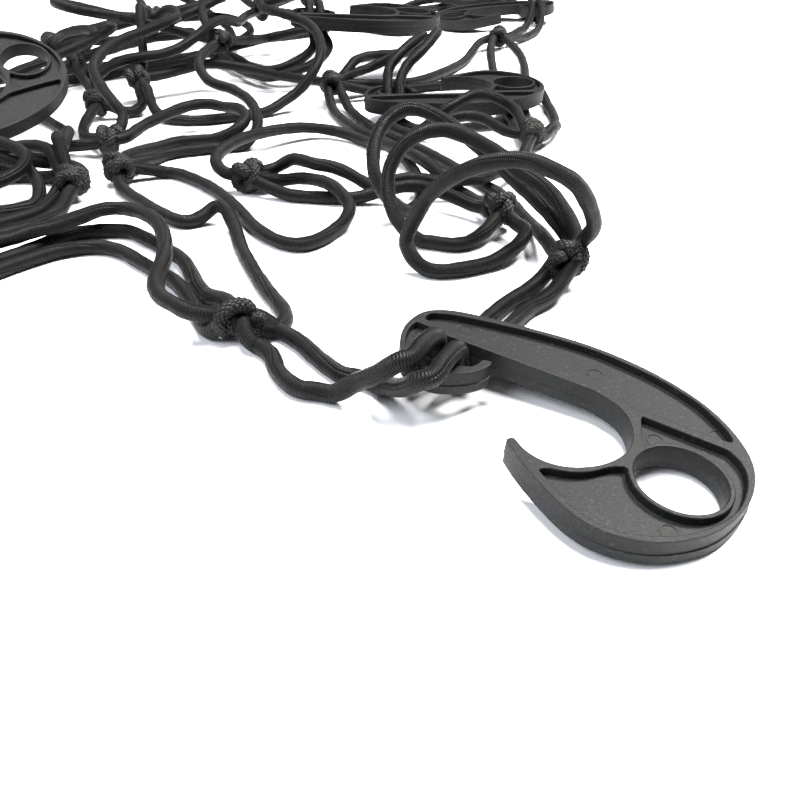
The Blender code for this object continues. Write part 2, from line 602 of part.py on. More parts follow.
# ----------------------------------------------------------------- assembly
def build_hooks():
    shape = hook_mesh()
    for row in HOOKS:
        mesh = shape.copy()
        hook = add_object(row[0], mesh, "hook")
        m = hook_matrix(row)
        x, y, z = m.translation
        hook.matrix_world = Matrix.Translation(Vector(placed(x, y, z)) * MM) @ m.to_3x3().to_4x4()


def build_net():
    """All cords and knots joined into one solid."""
    cords = laid(routes())
    pieces = [guide(f"cord_{i}", cord_mesh(f"cord_{i}", cord["path"], cord["slot"]))
              for i, cord in enumerate(cords)]
    pieces += [guide("knot_" + row[0], knot_mesh("knot_" + row[0], row)) for row in KNOTS]
    group = bpy.data.collections.new("pieces")
    for piece in pieces[1:]:
        group.objects.link(piece)
    net = add_object("net", pieces[0].data, "net")
    modifier = net.modifiers.new("join", "BOOLEAN")
    modifier.operation = "UNION"
    modifier.solver = "EXACT"
    modifier.operand_type = "COLLECTION"
    modifier.collection = group
    freeze(net)
    for piece in pieces:
        bpy.data.objects.remove(piece)
    bpy.data.collections.remove(group)


for old in list(bpy.data.objects):
    bpy.data.objects.remove(old)
build_hooks()
build_net()
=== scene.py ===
"""Elastic cargo net lying in a loose heap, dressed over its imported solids.

Lengths in the tables are millimetres, measured from the point of the floor
under the camera.  placed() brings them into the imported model's frame.
"""
import math

import bmesh
import bpy
import numpy as np
from mathutils import Matrix, Vector


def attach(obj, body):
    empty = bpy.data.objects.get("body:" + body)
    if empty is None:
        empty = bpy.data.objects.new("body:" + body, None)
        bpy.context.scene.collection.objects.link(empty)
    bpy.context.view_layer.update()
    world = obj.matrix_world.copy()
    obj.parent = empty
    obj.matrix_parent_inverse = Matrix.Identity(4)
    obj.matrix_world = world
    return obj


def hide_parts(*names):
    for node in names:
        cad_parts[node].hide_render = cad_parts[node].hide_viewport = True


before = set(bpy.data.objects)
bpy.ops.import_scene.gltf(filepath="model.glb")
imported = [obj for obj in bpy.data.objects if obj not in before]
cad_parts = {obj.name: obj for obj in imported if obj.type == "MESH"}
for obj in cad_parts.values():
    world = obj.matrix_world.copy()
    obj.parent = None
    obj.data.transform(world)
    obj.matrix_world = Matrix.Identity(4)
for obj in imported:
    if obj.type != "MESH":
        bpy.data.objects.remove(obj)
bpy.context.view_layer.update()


# ------------------------------------------------------------------ the hooks
# Five snap-over hooks, each one piece of charcoal polypropylene, injection
# moulded between two halves: a cord slot behind a small bar, a long shank, a
# round throat and a finger ring.  Both faces are pocketed, so thin walls are
# left round a middle web.  The edge cord is threaded through each slot.
MM = 0.001
MIDDLE = (-63.3, 399.5)      # middle of the heap's box on the floor
HOOK_T = 6.6                 # thickness of a hook
HOOK_POCKET = 2.1            # depth of the pockets in both faces
HOOK_LANE = 3.0              # half the spacing of the two cords in the slot
RING_AT = (61.6, -13.9)      # finger ring: middle and radius of its hole
RING_HOLE = 10.0
HOLE_SIDES = 72
RING_WALL = 11.3             # outer radius of the wall round the finger hole
RING_SWEEP = (148.0, -165.0)              # where that wall starts and ends, in degrees
RING_POINTS = 60
RIM_ROUND = 0.38             # rounding of every rim, worn by the tumbling of the parts
RIM_STEP = 0.12              # depth at which a rounded rim has its middle edge
HOLE_STEP = 0.15             # the same in the finger hole
RIM_LEFT = 0.3               # share of the rounding that is left at that depth
HOLLOW_LEFT = 0.35           # and the same in the pockets and the finger hole
WEB_ROUND = 0.22             # fillet where a wall meets the web
DRAFT = 0.06                 # how far a pocket's wall leans in by its foot
HOLE_DRAFT = 0.15            # how far the finger hole narrows to its middle
PARTING = -0.6               # height at which the two halves of the mould met
FLASH = 0.08                 # half the height of the step there
SLIP = np.array((0.26, -0.16))            # how far the lower half slipped aside
PAST = 1.0                   # how far what is cut away stands past the face
OUTLINE_STEP = 0.8           # spacing of the points round the hook, and round a pocket
POCKET_STEP = 0.55
SHARP = math.radians(38)     # edges that turn by more stay sharp

PIN_R = 1.9                  # witness circle that an ejector pin leaves on the web
PIN_SIDES = 28
PIN_HIGH = 0.11              # its height, and how far the height wanders round it
PIN_WANDER = 0.07
PIN_TOP = 2.2                # where it stands highest, in radians
PIN_RIDGE = ((-0.2, -1.0), (-0.12, 1.0), (0.12, 1.0), (0.2, -1.0))    # out, up or down

# name, x, y, height (middle of the slot), heading, pitch, roll, turned over
HOOKS = (
    ("hook_front", 12.4, 160.6, 9.85, -29, -4.9, 0, False),
    ("hook_left", -210.2, 323, 18.5, 40.2, 6.1, 25.4, True),
    ("hook_middle", -3, 391, 11, 3, 0, 0, True),
    ("hook_back", -48, 474, 32, 16, -4.5, 0, True),
    ("hook_far", 100, 626, 9.85, 176, -4.9, 0, True),
)

# Outline of a hook seen from above: the x axis is the straight inner side of
# the shank and the middle of the cord slot is (0, 0).
HOOK_BACK = (
    (24.7, -23.2), (30.3, -27.9), (38.0, -33.0), (44.5, -36.3), (51.0, -37.5), (58.6, -36.0),
    (65.4, -31.8), (71.7, -24.6), (75.2, -15.5), (76.0, -7.5), (74.2, 0.6), (69.3, 8.0), (62.0, 14.4),
    (52.6, 19.0), (41.0, 22.0), (28.0, 22.9), (13.0, 21.3), (-0.4, 18.9), (-8.6, 16.4), (-13.6, 12.0),
    (-14.9, 5.0), (-13.6, -1.4), (-9.8, -8.0), (-4.5, -11.0), (0.5, -10.9), (5.0, -8.8), (8.6, -5.6),
    (10.8, -2.0), (11.4, 1.4),
)
HOOK_INSIDE = (
    (8.6, 1.2), (7.6, -3.2), (3.0, -5.0), (-2.6, -5.0), (-6.6, -1.8), (-6.4, 3.4),
)
HOOK_THROAT = (
    (-3.5, 5.0), (36.5, 4.9), (43.6, 2.0), (47.9, -3.4), (49.4, -9.6), (48.2, -15.0), (44.9, -20.0),
    (39.6, -23.9), (34.2, -25.0), (29.6, -23.8), (26.4, -21.4),
)

# Pockets between the walls, as runs of smooth line that meet in corners.
SHANK_POCKET = (
    ((-11.6, 8.7), (-4.0, 8.2), (6.0, 7.2), (20.0, 6.8), (36.5, 6.8), (42.0, 5.6), (46.0, 4.0)),
    ((46.0, 4.0), (59.6, 4.0), (69.0, 4.4)),
    ((69.0, 4.4), (68.4, 6.4), (65.7, 9.6), (59.6, 14.4), (52.9, 17.4), (46.2, 19.4), (32.3, 21.3),
     (19.0, 20.4), (5.9, 18.0), (-4.9, 15.4), (-9.6, 13.5)),
    ((-9.6, 13.5), (-11.7, 12.0), (-12.1, 10.2), (-11.6, 8.7)),
)
END_POCKET = (
    ((-12.9, 6.4), (-13.2, 3.4), (-12.3, -0.6), (-10.6, -4.2), (-8.0, -7.3), (-4.3, -9.3), (0.4, -9.2),
     (3.6, -8.0)),
    ((3.6, -8.0), (2.6, -6.7)),
    ((2.6, -6.7), (-3.0, -6.7), (-7.0, -4.4), (-8.2, -1.4), (-8.1, 3.4), (-6.9, 5.8)),
    ((-6.9, 5.8), (-12.9, 6.4)),
)
BELLY_EDGE = (
    (34.6, -28.2), (39.6, -31.5), (43.8, -34.2), (48.4, -35.6), (52.5, -35.8), (58.2, -34.3), (65.1, -30.0),
    (70.2, -24.2), (73.7, -17.0), (74.5, -10.4), (73.7, -4.8), (71.8, -1.2), (68.8, 1.4),
)
RIB_EDGE = ((68.8, 1.4), (57.8, 1.7))
CORNER_EDGE = ((48.8, 2.0), (50.2, -3.2), (51.8, -7.8))
THROAT_EDGE = ((50.5, -16.9), (47.6, -18.9), (44.3, -22.8), (40.6, -25.3), (36.4, -26.8), (34.6, -28.2))
PINS = ((-10.2, 3.4), (-1.4, 13.0), (34.1, 14.2), (53.6, -2.2), (65.7, 7.5), (63.1, -28.4))


def smooth(points, per_span=8):
    """Points on a smooth curve through the given ones (Catmull-Rom)."""
    p = np.array(points, float)
    spans = len(p) - 1
    p = np.vstack((2 * p[0] - p[1], p, 2 * p[-1] - p[-2]))
    t = np.arange(per_span)[:, None] / per_span
    out = []
    for i in range(spans):
        a, b, c, d = p[i:i + 4]
        out.append(0.5 * (2 * b + (c - a) * t + (2 * a - 5 * b + 4 * c - d) * t ** 2
                          + (3 * b - a - 3 * c + d) * t ** 3))
    out.append(p[-2][None])
    return np.vstack(out)


def lengths(path):
    """Distance along a path to each of its points."""
    return np.concatenate(([0.0], np.cumsum(np.linalg.norm(np.diff(path, axis=0), axis=1))))


def softened(outline, step, passes):
    """A closed outline with even points, its corners rounded by averaging."""
    ring = np.vstack((outline, outline[:1]))
    along = lengths(ring)
    marks = np.linspace(0.0, along[-1], round(along[-1] / step) + 1)[:-1]
    even = np.stack([np.interp(marks, along, ring[:, k]) for k in range(2)], 1)
    for _ in range(passes):
        even = (np.roll(even, 1, axis=0) + 2 * even + np.roll(even, -1, axis=0)) / 4
    return even


def moved_in(outline, by):
    """A closed outline moved in by so many millimetres, or out if negative."""
    ahead = np.roll(outline, -1, axis=0) - outline
    ahead /= np.linalg.norm(ahead, axis=1)[:, None]
    way = ahead + np.roll(ahead, 1, axis=0)
    way /= np.linalg.norm(way, axis=1)[:, None]
    after = np.roll(outline, -1, axis=0)
    area = (outline[:, 0] * after[:, 1] - after[:, 0] * outline[:, 1]).sum()
    return outline + np.stack((-way[:, 1], way[:, 0]), 1) * by * np.sign(area)


def standing(name, data):
    """A new object with that mesh, light or camera, put in the scene."""
    thing = bpy.data.objects.new(name, data)
    bpy.context.scene.collection.objects.link(thing)
    return thing


def lofted(name, levels):
    """A closed solid through outlines of equal count, where levels are (height, outline)."""
    made = bmesh.new()
    rows = [[made.verts.new((x * MM, y * MM, z * MM)) for x, y in ring] for z, ring in levels]
    for low, high in zip(rows, rows[1:]):
        for i in range(len(low)):
            j = (i + 1) % len(low)
            made.faces.new((low[i], low[j], high[j], high[i]))
    made.faces.new(rows[0][::-1])
    made.faces.new(rows[-1])
    bmesh.ops.recalc_face_normals(made, faces=made.faces)
    mesh = bpy.data.meshes.new(name)
    made.to_mesh(mesh)
    made.free()
    return standing(name, mesh)


def circle(middle, radius, sides):
    """Points round a circle."""
    turns = np.arange(sides) * 2 * math.pi / sides
    return np.stack((middle[0] + radius * np.cos(turns), middle[1] + radius * np.sin(turns)), 1)


def hook_outline(fine=1):
    """Outline of a hook: round back, cord slot, straight shank and throat."""
    back = smooth(HOOK_BACK, per_span=2 * fine)
    inside = smooth(HOOK_INSIDE, per_span=2 * fine)
    throat = np.vstack((HOOK_THROAT[:1], smooth(HOOK_THROAT[1:], per_span=2 * fine)))
    return np.vstack((back, inside, throat))


def hook_plate():
    """The hook without pockets: rims rounded, and the halves of the mould a little out of line."""
    outline = softened(hook_outline(4), OUTLINE_STEP, 2)
    top = HOOK_T / 2
    # height, how far in, and 1 in the mould's lower half
    levels = ((-top, RIM_ROUND, 1), (-top + RIM_STEP, RIM_ROUND * RIM_LEFT, 1),
              (-top + RIM_ROUND, 0.0, 1), (PARTING - FLASH, 0.0, 1), (PARTING, 0.03, 1),
              (PARTING + FLASH, 0.0, 0), (top - RIM_ROUND, 0.08, 0),
              (top - RIM_STEP, RIM_ROUND * RIM_LEFT + 0.05, 0), (top, RIM_ROUND, 0))
    return lofted("hook_plate", [(z, moved_in(outline, by) + SLIP * low) for z, by, low in levels])


def ring_pocket():
    """The pocket that runs from the throat's point round the finger ring to the rib."""
    turns = np.radians(np.linspace(*RING_SWEEP, RING_POINTS))
    ring = np.stack((RING_AT[0] + RING_WALL * np.cos(turns), RING_AT[1] + RING_WALL * np.sin(turns)), 1)
    return np.vstack((smooth(BELLY_EDGE, per_span=4)[:-1], RIB_EDGE,
                      smooth(CORNER_EDGE, per_span=4)[:-1], ring, smooth(THROAT_EDGE, per_span=4)[1:-1]))


def sunk(name, outline, face):
    """What the mould fills of a pocket: rounded rim, drafted wall and filleted floor."""
    top = HOOK_T / 2
    floor = top - HOOK_POCKET
    levels = ((top + PAST, -RIM_ROUND), (top, -RIM_ROUND), (top - RIM_STEP, -RIM_ROUND * HOLLOW_LEFT),
              (top - RIM_ROUND, 0.0), (floor + WEB_ROUND, DRAFT),
              (floor + 0.3 * WEB_ROUND, DRAFT + 0.3 * WEB_ROUND), (floor, DRAFT + WEB_ROUND))
    return lofted(name, [(z * face, moved_in(outline, by)) for z, by in levels])


def finger_hole():
    """The finger hole: its rims rounded and its wall drafted to the middle."""
    top = HOOK_T / 2
    half = [(0.1, -HOLE_DRAFT), (top - RIM_ROUND, 0.0), (top - HOLE_STEP, RIM_ROUND * HOLLOW_LEFT),
            (top, RIM_ROUND), (top + PAST, RIM_ROUND)]
    levels = [(-z, out) for z, out in half[::-1]] + half
    return lofted("finger_hole", [(z, circle(RING_AT, RING_HOLE + out, HOLE_SIDES)) for z, out in levels])


def witness(middle, face):
    """The raised circle that an ejector pin leaves on the web, a little uneven in height."""
    floor = (HOOK_T / 2 - HOOK_POCKET) * face
    made = bmesh.new()
    rows = []
    for k in range(PIN_SIDES):
        turn = 2 * math.pi * k / PIN_SIDES
        high = PIN_HIGH + PIN_WANDER * math.cos(turn - PIN_TOP)
        rows.append([made.verts.new(((middle[0] + (PIN_R + out) * math.cos(turn)) * MM,
                                     (middle[1] + (PIN_R + out) * math.sin(turn)) * MM,
                                     (floor + up * high * face) * MM))
                     for out, up in PIN_RIDGE])
    for row, after in zip(rows, rows[1:] + rows[:1]):
        for i in range(4):
            made.faces.new((row[i], row[(i + 1) % 4], after[(i + 1) % 4], after[i]))
    bmesh.ops.recalc_face_normals(made, faces=made.faces)
    mesh = bpy.data.meshes.new("witness")
    made.to_mesh(mesh)
    made.free()
    return mesh


def evaluated(thing):
    """An object's mesh with its modifiers done."""
    bpy.context.view_layer.update()
    finished = thing.evaluated_get(bpy.context.evaluated_depsgraph_get())
    return bpy.data.meshes.new_from_object(finished)


def moulded_hook():
    """One hook's finished mesh: plate, pockets, finger hole and pin marks."""
    plate = hook_plate()
    cutters = [finger_hole()]
    pockets = [np.vstack([smooth(run, per_span=4)[:-1] for run in runs])
               for runs in (SHANK_POCKET, END_POCKET)]
    for number, edge in enumerate((*pockets, ring_pocket())):
        outline = softened(edge, POCKET_STEP, 2)
        cutters += [sunk(f"pocket_{number}_{face}", outline, face) for face in (1, -1)]
    for cutter in cutters:
        hollow = plate.modifiers.new("hollow", "BOOLEAN")
        hollow.operation = "DIFFERENCE"
        hollow.solver = "EXACT"
        hollow.object = cutter
    made = bmesh.new()
    made.from_mesh(evaluated(plate))
    for pin in PINS:
        for face in (1, -1):
            made.from_mesh(witness(pin, face))
    mesh = bpy.data.meshes.new("hook_shape")
    made.to_mesh(mesh)
    made.free()
    mesh.shade_smooth()
    mesh.set_sharp_from_angle(angle=SHARP)
    for thing in (plate, *cutters):
        bpy.data.objects.remove(thing)
    return mesh


def hook_matrix(row):
    """Matrix from a hook's own millimetres to the heap's."""
    _, x, y, z, heading, pitch, roll, turned = row
    turn = Matrix.Rotation(math.radians(heading), 4, "Z") @ Matrix.Rotation(math.radians(-pitch), 4, "Y")
    turn = turn @ Matrix.Rotation(math.radians(roll), 4, "X")
    if turned:
        turn = turn @ Matrix.Rotation(math.pi, 4, "X")
    return Matrix.Translation((x, y, z)) @ turn


def placed(x, y, z):
    """A place in the tables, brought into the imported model's frame."""
    return ((x - MIDDLE[0]) * MM, (y - MIDDLE[1]) * MM, z * MM)


def linear(colour):
    """An sRGB hex colour as linear red, green, blue and alpha."""
    parts = [int(colour[i:i + 2], 16) / 255 for i in (1, 3, 5)]
    return (*[c / 12.92 if c <= 0.04045 else ((c + 0.055) / 1.055) ** 2.4 for c in parts], 1.0)


def add(tree, kind, settings, inputs):
    """One node with its settings; an input takes a value or another node's output."""
    node = tree.nodes.new(kind)
    for name, value in settings.items():
        setattr(node, name, value)
    for name, value in inputs.items():
        if isinstance(value, bpy.types.NodeSocket):
            tree.links.new(value, node.inputs[name])
        else:
            node.inputs[name].default_value = value
    return node


def bare(name, **sockets):
    """A new material, its node tree and its shader, with the sockets that are even all over."""
    paint = bpy.data.materials.new(name)
    paint.use_nodes = True
    shader = paint.node_tree.nodes["Principled BSDF"]
    for socket, value in sockets.items():
        shader.inputs[socket.replace("_", " ")].default_value = value
    return paint, paint.node_tree, shader


def moulded_polypropylene():
    """Polypropylene, injection moulded in a spark-eroded tool: charcoal, fine satin grain."""
    paint, tree, shader = bare("moulded_polypropylene", IOR=1.49, Metallic=0.0, Specular_IOR_Level=0.2)
    place = add(tree, "ShaderNodeTexCoord", {}, {}).outputs["Object"]
    # the tool's grain is 0.1 mm; it is drawn at 0.45 mm, the finest that shows
    grain = add(tree, "ShaderNodeTexNoise", {},
                {"Vector": place, "Scale": 1 / (0.45 * MM), "Detail": 3.0, "Roughness": 0.65}).outputs["Fac"]
    # flow of the melt, two centimetres wide, which clouds the colour a little
    flow = add(tree, "ShaderNodeTexNoise", {},
               {"Vector": place, "Scale": 1 / (22 * MM), "Detail": 4.0, "Roughness": 0.55}).outputs["Fac"]
    # light specks of a fraction of a millimetre, painted glints where the grain catches the light
    glint = add(tree, "ShaderNodeTexNoise", {},
                {"Vector": place, "Scale": 1 / (0.9 * MM), "Detail": 2.0}).outputs["Fac"]
    glint = add(tree, "ShaderNodeMapRange", {},
                {"Value": glint, "From Min": 0.6, "From Max": 0.74}).outputs["Result"]
    body = add(tree, "ShaderNodeMix", {"data_type": "RGBA"},
               {0: flow, 6: linear("#131415"), 7: linear("#1b1c1c")}).outputs[2]
    # painted glints: the specks lighten the colour
    glinting = add(tree, "ShaderNodeMix", {"data_type": "RGBA"},
                {0: glint, 6: body, 7: linear("#303131")}).outputs[2]
    tree.links.new(glinting, shader.inputs["Base Color"])
    rough = add(tree, "ShaderNodeMapRange", {}, {"Value": grain, "From Min": 0.3, "From Max": 0.7,
                                                 "To Min": 0.42, "To Max": 0.64}).outputs["Result"]
    tree.links.new(rough, shader.inputs["Roughness"])
    relief = add(tree, "ShaderNodeBump", {},
                 {"Strength": 0.7, "Distance": 0.16 * MM, "Height": grain}).outputs["Normal"]
    tree.links.new(relief, shader.inputs["Normal"])
    return paint


hook_shape = moulded_hook()
hook_shape.materials.append(moulded_polypropylene())
for row in HOOKS:
    m = hook_matrix(row)
    mesh = hook_shape.copy()
    mesh.transform(Matrix.Translation(placed(*m.translation)) @ m.to_3x3().to_4x4())
    hook = standing(row[0] + "_moulded", mesh)
    even = hook.modifiers.new("flat_faces", "WEIGHTED_NORMAL")
    even.keep_sharp = True
    even.weight = 60
    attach(hook, "root")
    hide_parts(row[0])


# ------------------------------------------------------------------ the cords
# Round elastic cord, 5 mm: a bundle of rubber threads in a tight served
# cover of dark polyester.  It runs twice round the net's edge, and single
# lengths are tied across as the mesh.  It lies as it fell, each length over
# those below it.
CORD = 5.0                   # diameter of the covered cord
FLOOR = 2.3                  # height of a cord's middle where it lies flat
SET_OUT = (0.0, 3.3, 6.0, 900.0)          # a height near the floor in the tables ...
SET_DOWN = (FLOOR, FLOOR, 6.0, 900.0)     # ... is laid down flat on it
AIR = 0.8                    # least air between two cords
STRAND = 190.0               # length of a slack mesh cord from knot to knot
PAIR = 2.9                   # half the spacing of the two edge cords at a knot
STEP = 2.2                   # spacing of the points while a cord is laid
TIGHTEST = 5.0               # least radius of a bend
IN_HOOK = 14.0               # bends this near a slot's middle stay as they are
HUMP = 26.0                  # half the length of a hump over another cord
MEETING = 17.0               # reach of a shared knot or slot, where cords may touch
KNOT_HALF = 7.6              # half the length of a knot
KNOT_R = 6.3                 # radius on a knot's ridges
OFF_KNOT = 14.0              # length beside a knot over which a cord comes free to rise
CORE_STEP = 3.0              # spacing of the points that keep cords off a hook
SIDES = 12           # sides of a cord's tube
UV_MM = 10.0                 # millimetres along a cord for one unit of its UVs
YARN = 0.58                  # spacing at which the cover's yarns are drawn; they lie 0.45 mm apart
THREADS = 3                  # rubber threads under the cover, each with a groove beside it
TWIST = (27.0, 0.6, 31.0)    # mm for a radian of twist, and how much and how fast it wanders

# How the cover swells and pinches: length of a wave, and its share of the radius
SWELLS = ((5.3, 0.012), (9.1, 0.016), (17.0, 0.018), (41.0, 0.015))

# name, x, y, height of the middle, heading in degrees
KNOTS = (
    ("a", -47, 186, 7, 150),
    ("b", 53, 219, 9, 250),
    ("c", -115, 305, 7, 120),
    ("d", -61, 295, 7, 60),
    ("e", 37, 260, 8, 170),
    ("f", -128, 289, 8, 100),
    ("g", 59, 341, 9, 100),
    ("h", -129, 336, 8, 40),
    ("j", -138, 424, 12, 30),
    ("k", -181, 452, 14, 60),
    ("l", -151, 393, 8, 150),
    ("m", -36, 422, 10, 90),
    ("n", -88, 531, 26, 40),
    ("p", 65, 545, 8, 80),
    ("q", 70, 690, 7, 60),
    ("r", -112, 498, 9, 10),
    ("s", -232, 392, 8, 100),
    ("u", -192, 278, 7, 90),
    ("v", -100, 452, 24, 150),
    ("w", -152, 508, 26, 20),
    ("x", -214, 505, 12, 120),
)

# Where a cord's middle runs in a hook's slot: across the small bar, down
# through the slot and out under the shank, as (y, z) in the hook's own axes.
OVER_BAR = ((-15.6, 4.8), (-12.0, 6.8), (-8.5, 7.0), (-5.2, 6.9))
IN_SLOT = ((-2.5, 5.9), (-1.4, 3.3), (0.0, 0.0), (1.4, -3.3), (2.5, -5.9))
UNDER_SHANK = ((5.2, -7.0), (9.5, -7.1))

# Cords deep in the heap: first knot, last knot, heading of the slack's bow in
# degrees, how far the bow stands up (0 lies flat), share of an S in the bow
SLACK = (
    ("r", "v", 40, 0.0, 0.3),
    ("r", "w", 100, 0.1, -0.3),
    ("v", "w", 220, 0.3, 0.4),
    ("v", "k", 60, 0.3, 0.3),
    ("w", "x", 40, 0.1, 0.3),
    ("x", "s", 0, 0.3, -0.2),
    ("x", "k", 40, 0.0, 0.2),
    ("n", "w", 70, 0.1, 0.3),
    ("x", "r", 60, 0.1, -0.3),
)

# Edge cords run in pairs from knot to knot along the net's edge.
# first knot, last knot, lane beside the knots (-1 or 1), bends up to the hook
# or all of them; then the hook, whether the cord crosses its small bar, and
# the bends after it
EDGE = (
    ("a", "b", 1, ((-42, 189, 6), (-37, 188, 4), (-33, 185, 3), (-28, 180, 3), (-23, 173, 3),
                   (-19, 168, 3), (-15, 164, 3), (-11, 163, 3), (-6, 160, 3), (-3, 156, 5), (0, 151, 8),
                   (3, 147, 12), (5, 145, 15)),
     "hook_front", True, ((22, 174, 3), (30, 186, 3), (39, 199, 3), (48, 207, 5))),
    ("a", "b", -1, ((-43, 180, 5), (-39, 178, 3), (-35, 173, 3), (-33, 167, 3), (-30, 162, 3),
                    (-26, 158, 3), (-21, 157, 3), (-16, 155, 4), (-11, 153, 7), (-6, 149, 11),
                    (-2, 148, 14), (1, 148, 16)),
     "hook_front", True, ((17, 177, 3), (24, 190, 3), (34, 204, 3), (44, 213, 5))),
    ("f", "a", -1, ((-127, 281, 6), (-129, 270, 3), (-134, 258, 3), (-146, 249, 3), (-162, 243, 3),
                    (-170, 231, 3), (-160, 220, 3), (-144, 223, 3), (-130, 234, 3), (-121, 246, 3),
                    (-113, 253, 3), (-99, 254, 3), (-91, 249, 3), (-78, 237, 3), (-72, 230, 3),
                    (-67, 220, 3), (-63, 212, 3), (-58, 205, 4), (-52, 198, 6)), None, False, ()),
    ("f", "a", 1, ((-133, 279, 5), (-138, 268, 3), (-150, 258, 3), (-168, 252, 3), (-180, 234, 3),
                   (-166, 211, 3), (-144, 212, 3), (-134, 220, 3), (-126, 229, 3), (-116, 238, 3),
                   (-105, 241, 3), (-96, 238, 3), (-88, 231, 3), (-73, 216, 3), (-64, 203, 3),
                   (-59, 193, 3), (-54, 185, 4)), None, False, ()),
    ("b", "m", 1, ((54, 230, 12), (48, 235, 18), (41, 245, 22), (33, 258, 26), (22, 266, 33),
                   (12, 271, 38), (3, 272, 40), (-5, 270, 36), (-9, 266, 29), (-9, 263, 20),
                   (-5, 265, 11), (2, 270, 4), (8, 283, 3), (6, 313, 3), (-4, 345, 3),
                   (-22, 370, 3), (-34, 398, 4)), None, False, ()),
    ("b", "m", -1, ((49, 238, 7), (47, 259, 4), (41, 284, 3), (29, 306, 3), (17, 328, 3),
                    (2, 350, 3), (-14, 372, 3), (-26, 400, 4)), None, False, ()),
    ("m", "g", -1, ((-29, 428, 12), (-16, 438, 14), (-1, 432, 22), (9, 416, 33), (11, 407, 36),
                    (3, 400, 32), (-5, 397, 24)),
     "hook_middle", False, ((-5, 377, 2.3), (-1, 368, 2.4), (6, 360, 4), (15, 354, 9), (27, 350, 14),
                            (37, 348, 14), (48, 345, 9))),
    ("m", "g", 1, ((-25, 434, 12), (-12, 446, 14), (6, 441, 22), (17, 421, 33), (18, 408, 37),
                   (12, 400, 32), (3, 397, 24)),
     "hook_middle", False, ((2, 377, 2.3), (7, 369, 2.4), (14, 363, 7), (23, 361, 15), (37, 364, 20),
                            (52, 360, 15))),
    ("g", "p", 1, ((58, 352, 5), (56, 370, 2), (54, 391, 2), (52, 424, 2), (54, 460, 4),
                   (56, 506, 8)), None, False, ()),
    ("g", "p", -1, ((64, 352, 5), (62, 379, 2), (66, 420, 2), (72, 460, 4), (74, 500, 6)),
     None, False, ()),
    ("p", "q", 1, ((74, 568, 4), (84, 588, 3), (92, 602, 5)),
     "hook_far", True, ((96, 642, 3), (95, 660, 4), (84, 680, 5))),
    ("p", "q", -1, ((82, 562, 4), (94, 582, 3), (101, 600, 6)),
     "hook_far", True, ((103, 642, 3), (104, 662, 4), (92, 684, 5))),
    ("q", "n", 1, ((44, 690, 3), (14, 656, 5), (6, 604, 12), (12, 550, 17), (14, 516, 18),
                   (-4, 506, 18), (-34, 516, 20), (-64, 526, 24)), None, False, ()),
    ("q", "n", -1, ((40, 680, 3), (4, 664, 5), (-10, 610, 10), (-14, 560, 14), (-34, 538, 18),
                    (-64, 536, 22)), None, False, ()),
    ("n", "r", 1, ((-78, 520, 31), (-62, 506, 38), (-50, 494, 41)),
     "hook_back", True, ((-40, 458, 19), (-50, 446, 13), (-72, 446, 7), (-92, 466, 6), (-102, 484, 7))),
    ("n", "r", -1, ((-84, 514, 31), (-70, 502, 37), (-57, 491, 41)),
     "hook_back", True, ((-49, 461, 19), (-58, 453, 13), (-74, 454, 7), (-88, 474, 6), (-99, 490, 7))),
    ("r", "s", 1, ((-134, 490, 5), (-162, 474, 4), (-190, 452, 4), (-214, 424, 5)), None, False, ()),
    ("r", "s", -1, ((-130, 504, 5), (-164, 492, 4), (-202, 474, 4), (-230, 444, 5), (-240, 414, 6)),
     None, False, ()),
    ("s", "f", 1, ((-228, 381, 13), (-224, 366, 21), (-219, 350, 29)),
     "hook_left", True, ((-198, 316, 4.9), (-191, 311, 3.2), (-176, 308, 3), (-158, 307, 3),
                         (-144, 305, 4), (-135, 299, 6))),
    ("s", "f", -1, ((-234, 380, 10), (-233, 364, 19), (-227, 346, 28)),
     "hook_left", True, ((-203, 312, 3.6), (-197, 305, 2.6), (-182, 301, 3), (-166, 302, 3),
                         (-150, 311, 3), (-136, 309, 5), (-128, 300, 7))),
)

